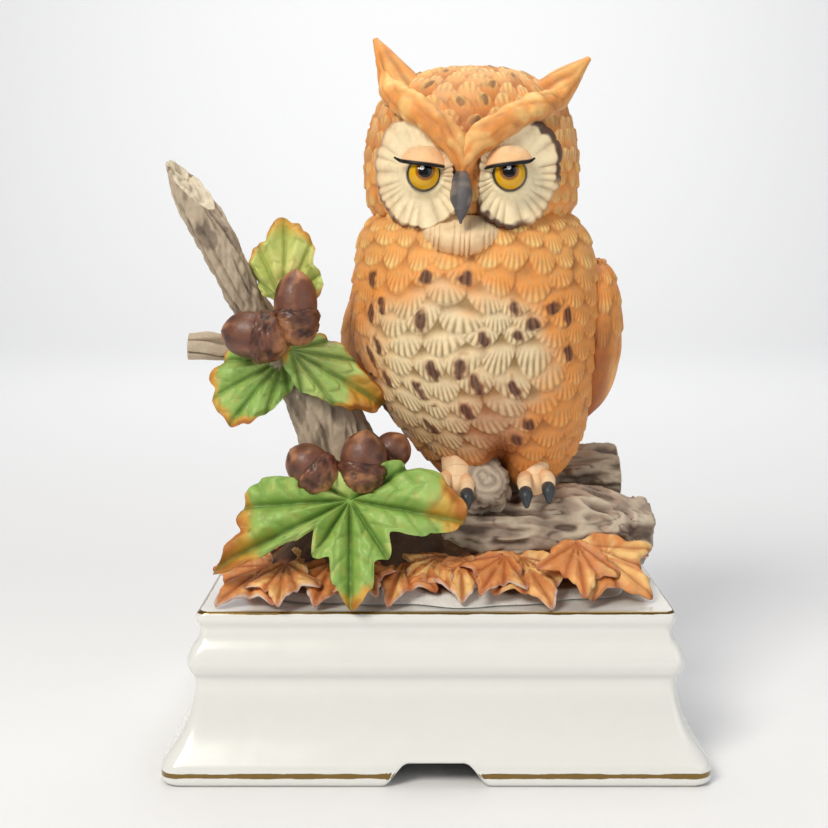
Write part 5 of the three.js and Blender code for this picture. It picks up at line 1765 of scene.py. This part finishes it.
class OWL_OT_stage(OwlPiece, bpy.types.Operator):
    """Sets the floor, the soft lights and the camera"""

    bl_idname = "owl.stage"
    bl_label = "Floor, lights and camera"

    def execute(self, context):
        studio = Studio(context.scene)
        scene = context.scene
        wide = studio.size("floor_width") / 2
        # The floor runs back and then curves up into the backdrop, as a sheet of paper does.
        along = np.linspace(0, 1, 60)
        bend = rise(along, 0.55, 1.0)
        y = -0.5 * wide + 1.6 * wide * along
        z = 0.9 * wide * bend**2
        x = np.linspace(-wide, wide, 20)
        top = np.stack(np.broadcast_arrays(x[None, :], y[:, None], z[:, None] - 0.02), -1)
        index = np.arange(top.shape[0] * top.shape[1]).reshape(top.shape[:2])
        quads = np.stack([index[:-1, :-1], index[:-1, 1:], index[1:, 1:], index[1:, :-1]], -1)
        quads = quads.reshape(-1, 4)
        mesh = bpy.data.meshes.new("floor")
        mesh.from_pydata((top.reshape(-1, 3) / MM).tolist(), [], quads.tolist())
        mesh.polygons.foreach_set("use_smooth", np.ones(len(quads), bool))
        mesh.materials.append(studio.finish("floor"))
        floor = bpy.data.objects.new("floor", mesh)
        scene.collection.objects.link(floor)
        floor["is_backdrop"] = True

        low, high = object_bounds()
        middle = (low + high) / 2
        for name, (place, size, power, colour, aim) in LIGHTS.items():
            data = bpy.data.lights.new(name, "AREA")
            data.shape = "SQUARE"
            data.size = size
            data.energy = power
            data.color = colour
            lamp = bpy.data.objects.new(name, data)
            lamp.location = place
            ahead = mathutils.Vector(aim or middle) - lamp.location
            lamp.rotation_euler = ahead.to_track_quat("-Z", "Y").to_euler()
            scene.collection.objects.link(lamp)
        world = bpy.data.worlds.new("studio")
        world.use_nodes = True
        background = world.node_tree.nodes["Background"]
        background.inputs[0].default_value = (0.9, 0.93, 1.0, 1.0)
        background.inputs[1].default_value = 0.24
        scene.world = world
        scene.view_settings.view_transform = "Standard"

        lens = bpy.data.cameras.new("camera")
        lens.lens = CAMERA_LENS
        lens.sensor_width = CAMERA_SENSOR
        camera = bpy.data.objects.new("camera", lens)
        camera.location = CAMERA_PLACE
        camera.rotation_euler = (math.radians(90 - CAMERA_PITCH), 0, 0)
        scene.collection.objects.link(camera)
        scene.camera = camera
        return {"FINISHED"}


OPERATORS = (
    OWL_OT_plinth, OWL_OT_ground, OWL_OT_logs, OWL_OT_branch, OWL_OT_leaves, OWL_OT_fallen_leaves,
    OWL_OT_acorns,
    OWL_OT_body, OWL_OT_head, OWL_OT_crest, OWL_OT_face, OWL_OT_eyes, OWL_OT_wings, OWL_OT_feet, OWL_OT_stage,
)


class OWL_PT_panel(bpy.types.Panel):
    """Lists the steps that build the figurine"""

    bl_label = "Porcelain Owl"
    bl_idname = "OWL_PT_panel"
    bl_space_type = "VIEW_3D"
    bl_region_type = "UI"
    bl_category = "Owl"

    def draw(self, context):
        for step in OPERATORS:
            self.layout.operator(step.bl_idname)
        for settings in (context.scene.owl_sizes, context.scene.owl_colours):
            box = self.layout.box()
            for name in settings.__annotations__:
                box.prop(settings, name)


CLASSES = (OwlSizes, OwlColours, *OPERATORS, OWL_PT_panel)


def register():
    for made in CLASSES:
        bpy.utils.register_class(made)
    bpy.types.Scene.owl_sizes = bpy.props.PointerProperty(type=OwlSizes)
    bpy.types.Scene.owl_colours = bpy.props.PointerProperty(type=OwlColours)


def unregister():
    del bpy.types.Scene.owl_sizes
    del bpy.types.Scene.owl_colours
    for made in reversed(CLASSES):
        bpy.utils.unregister_class(made)


def main():
    register()
    for step in OPERATORS:
        family, action = step.bl_idname.split(".")
        getattr(getattr(bpy.ops, family), action)()
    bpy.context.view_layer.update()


if __name__ == "__main__":
    main()
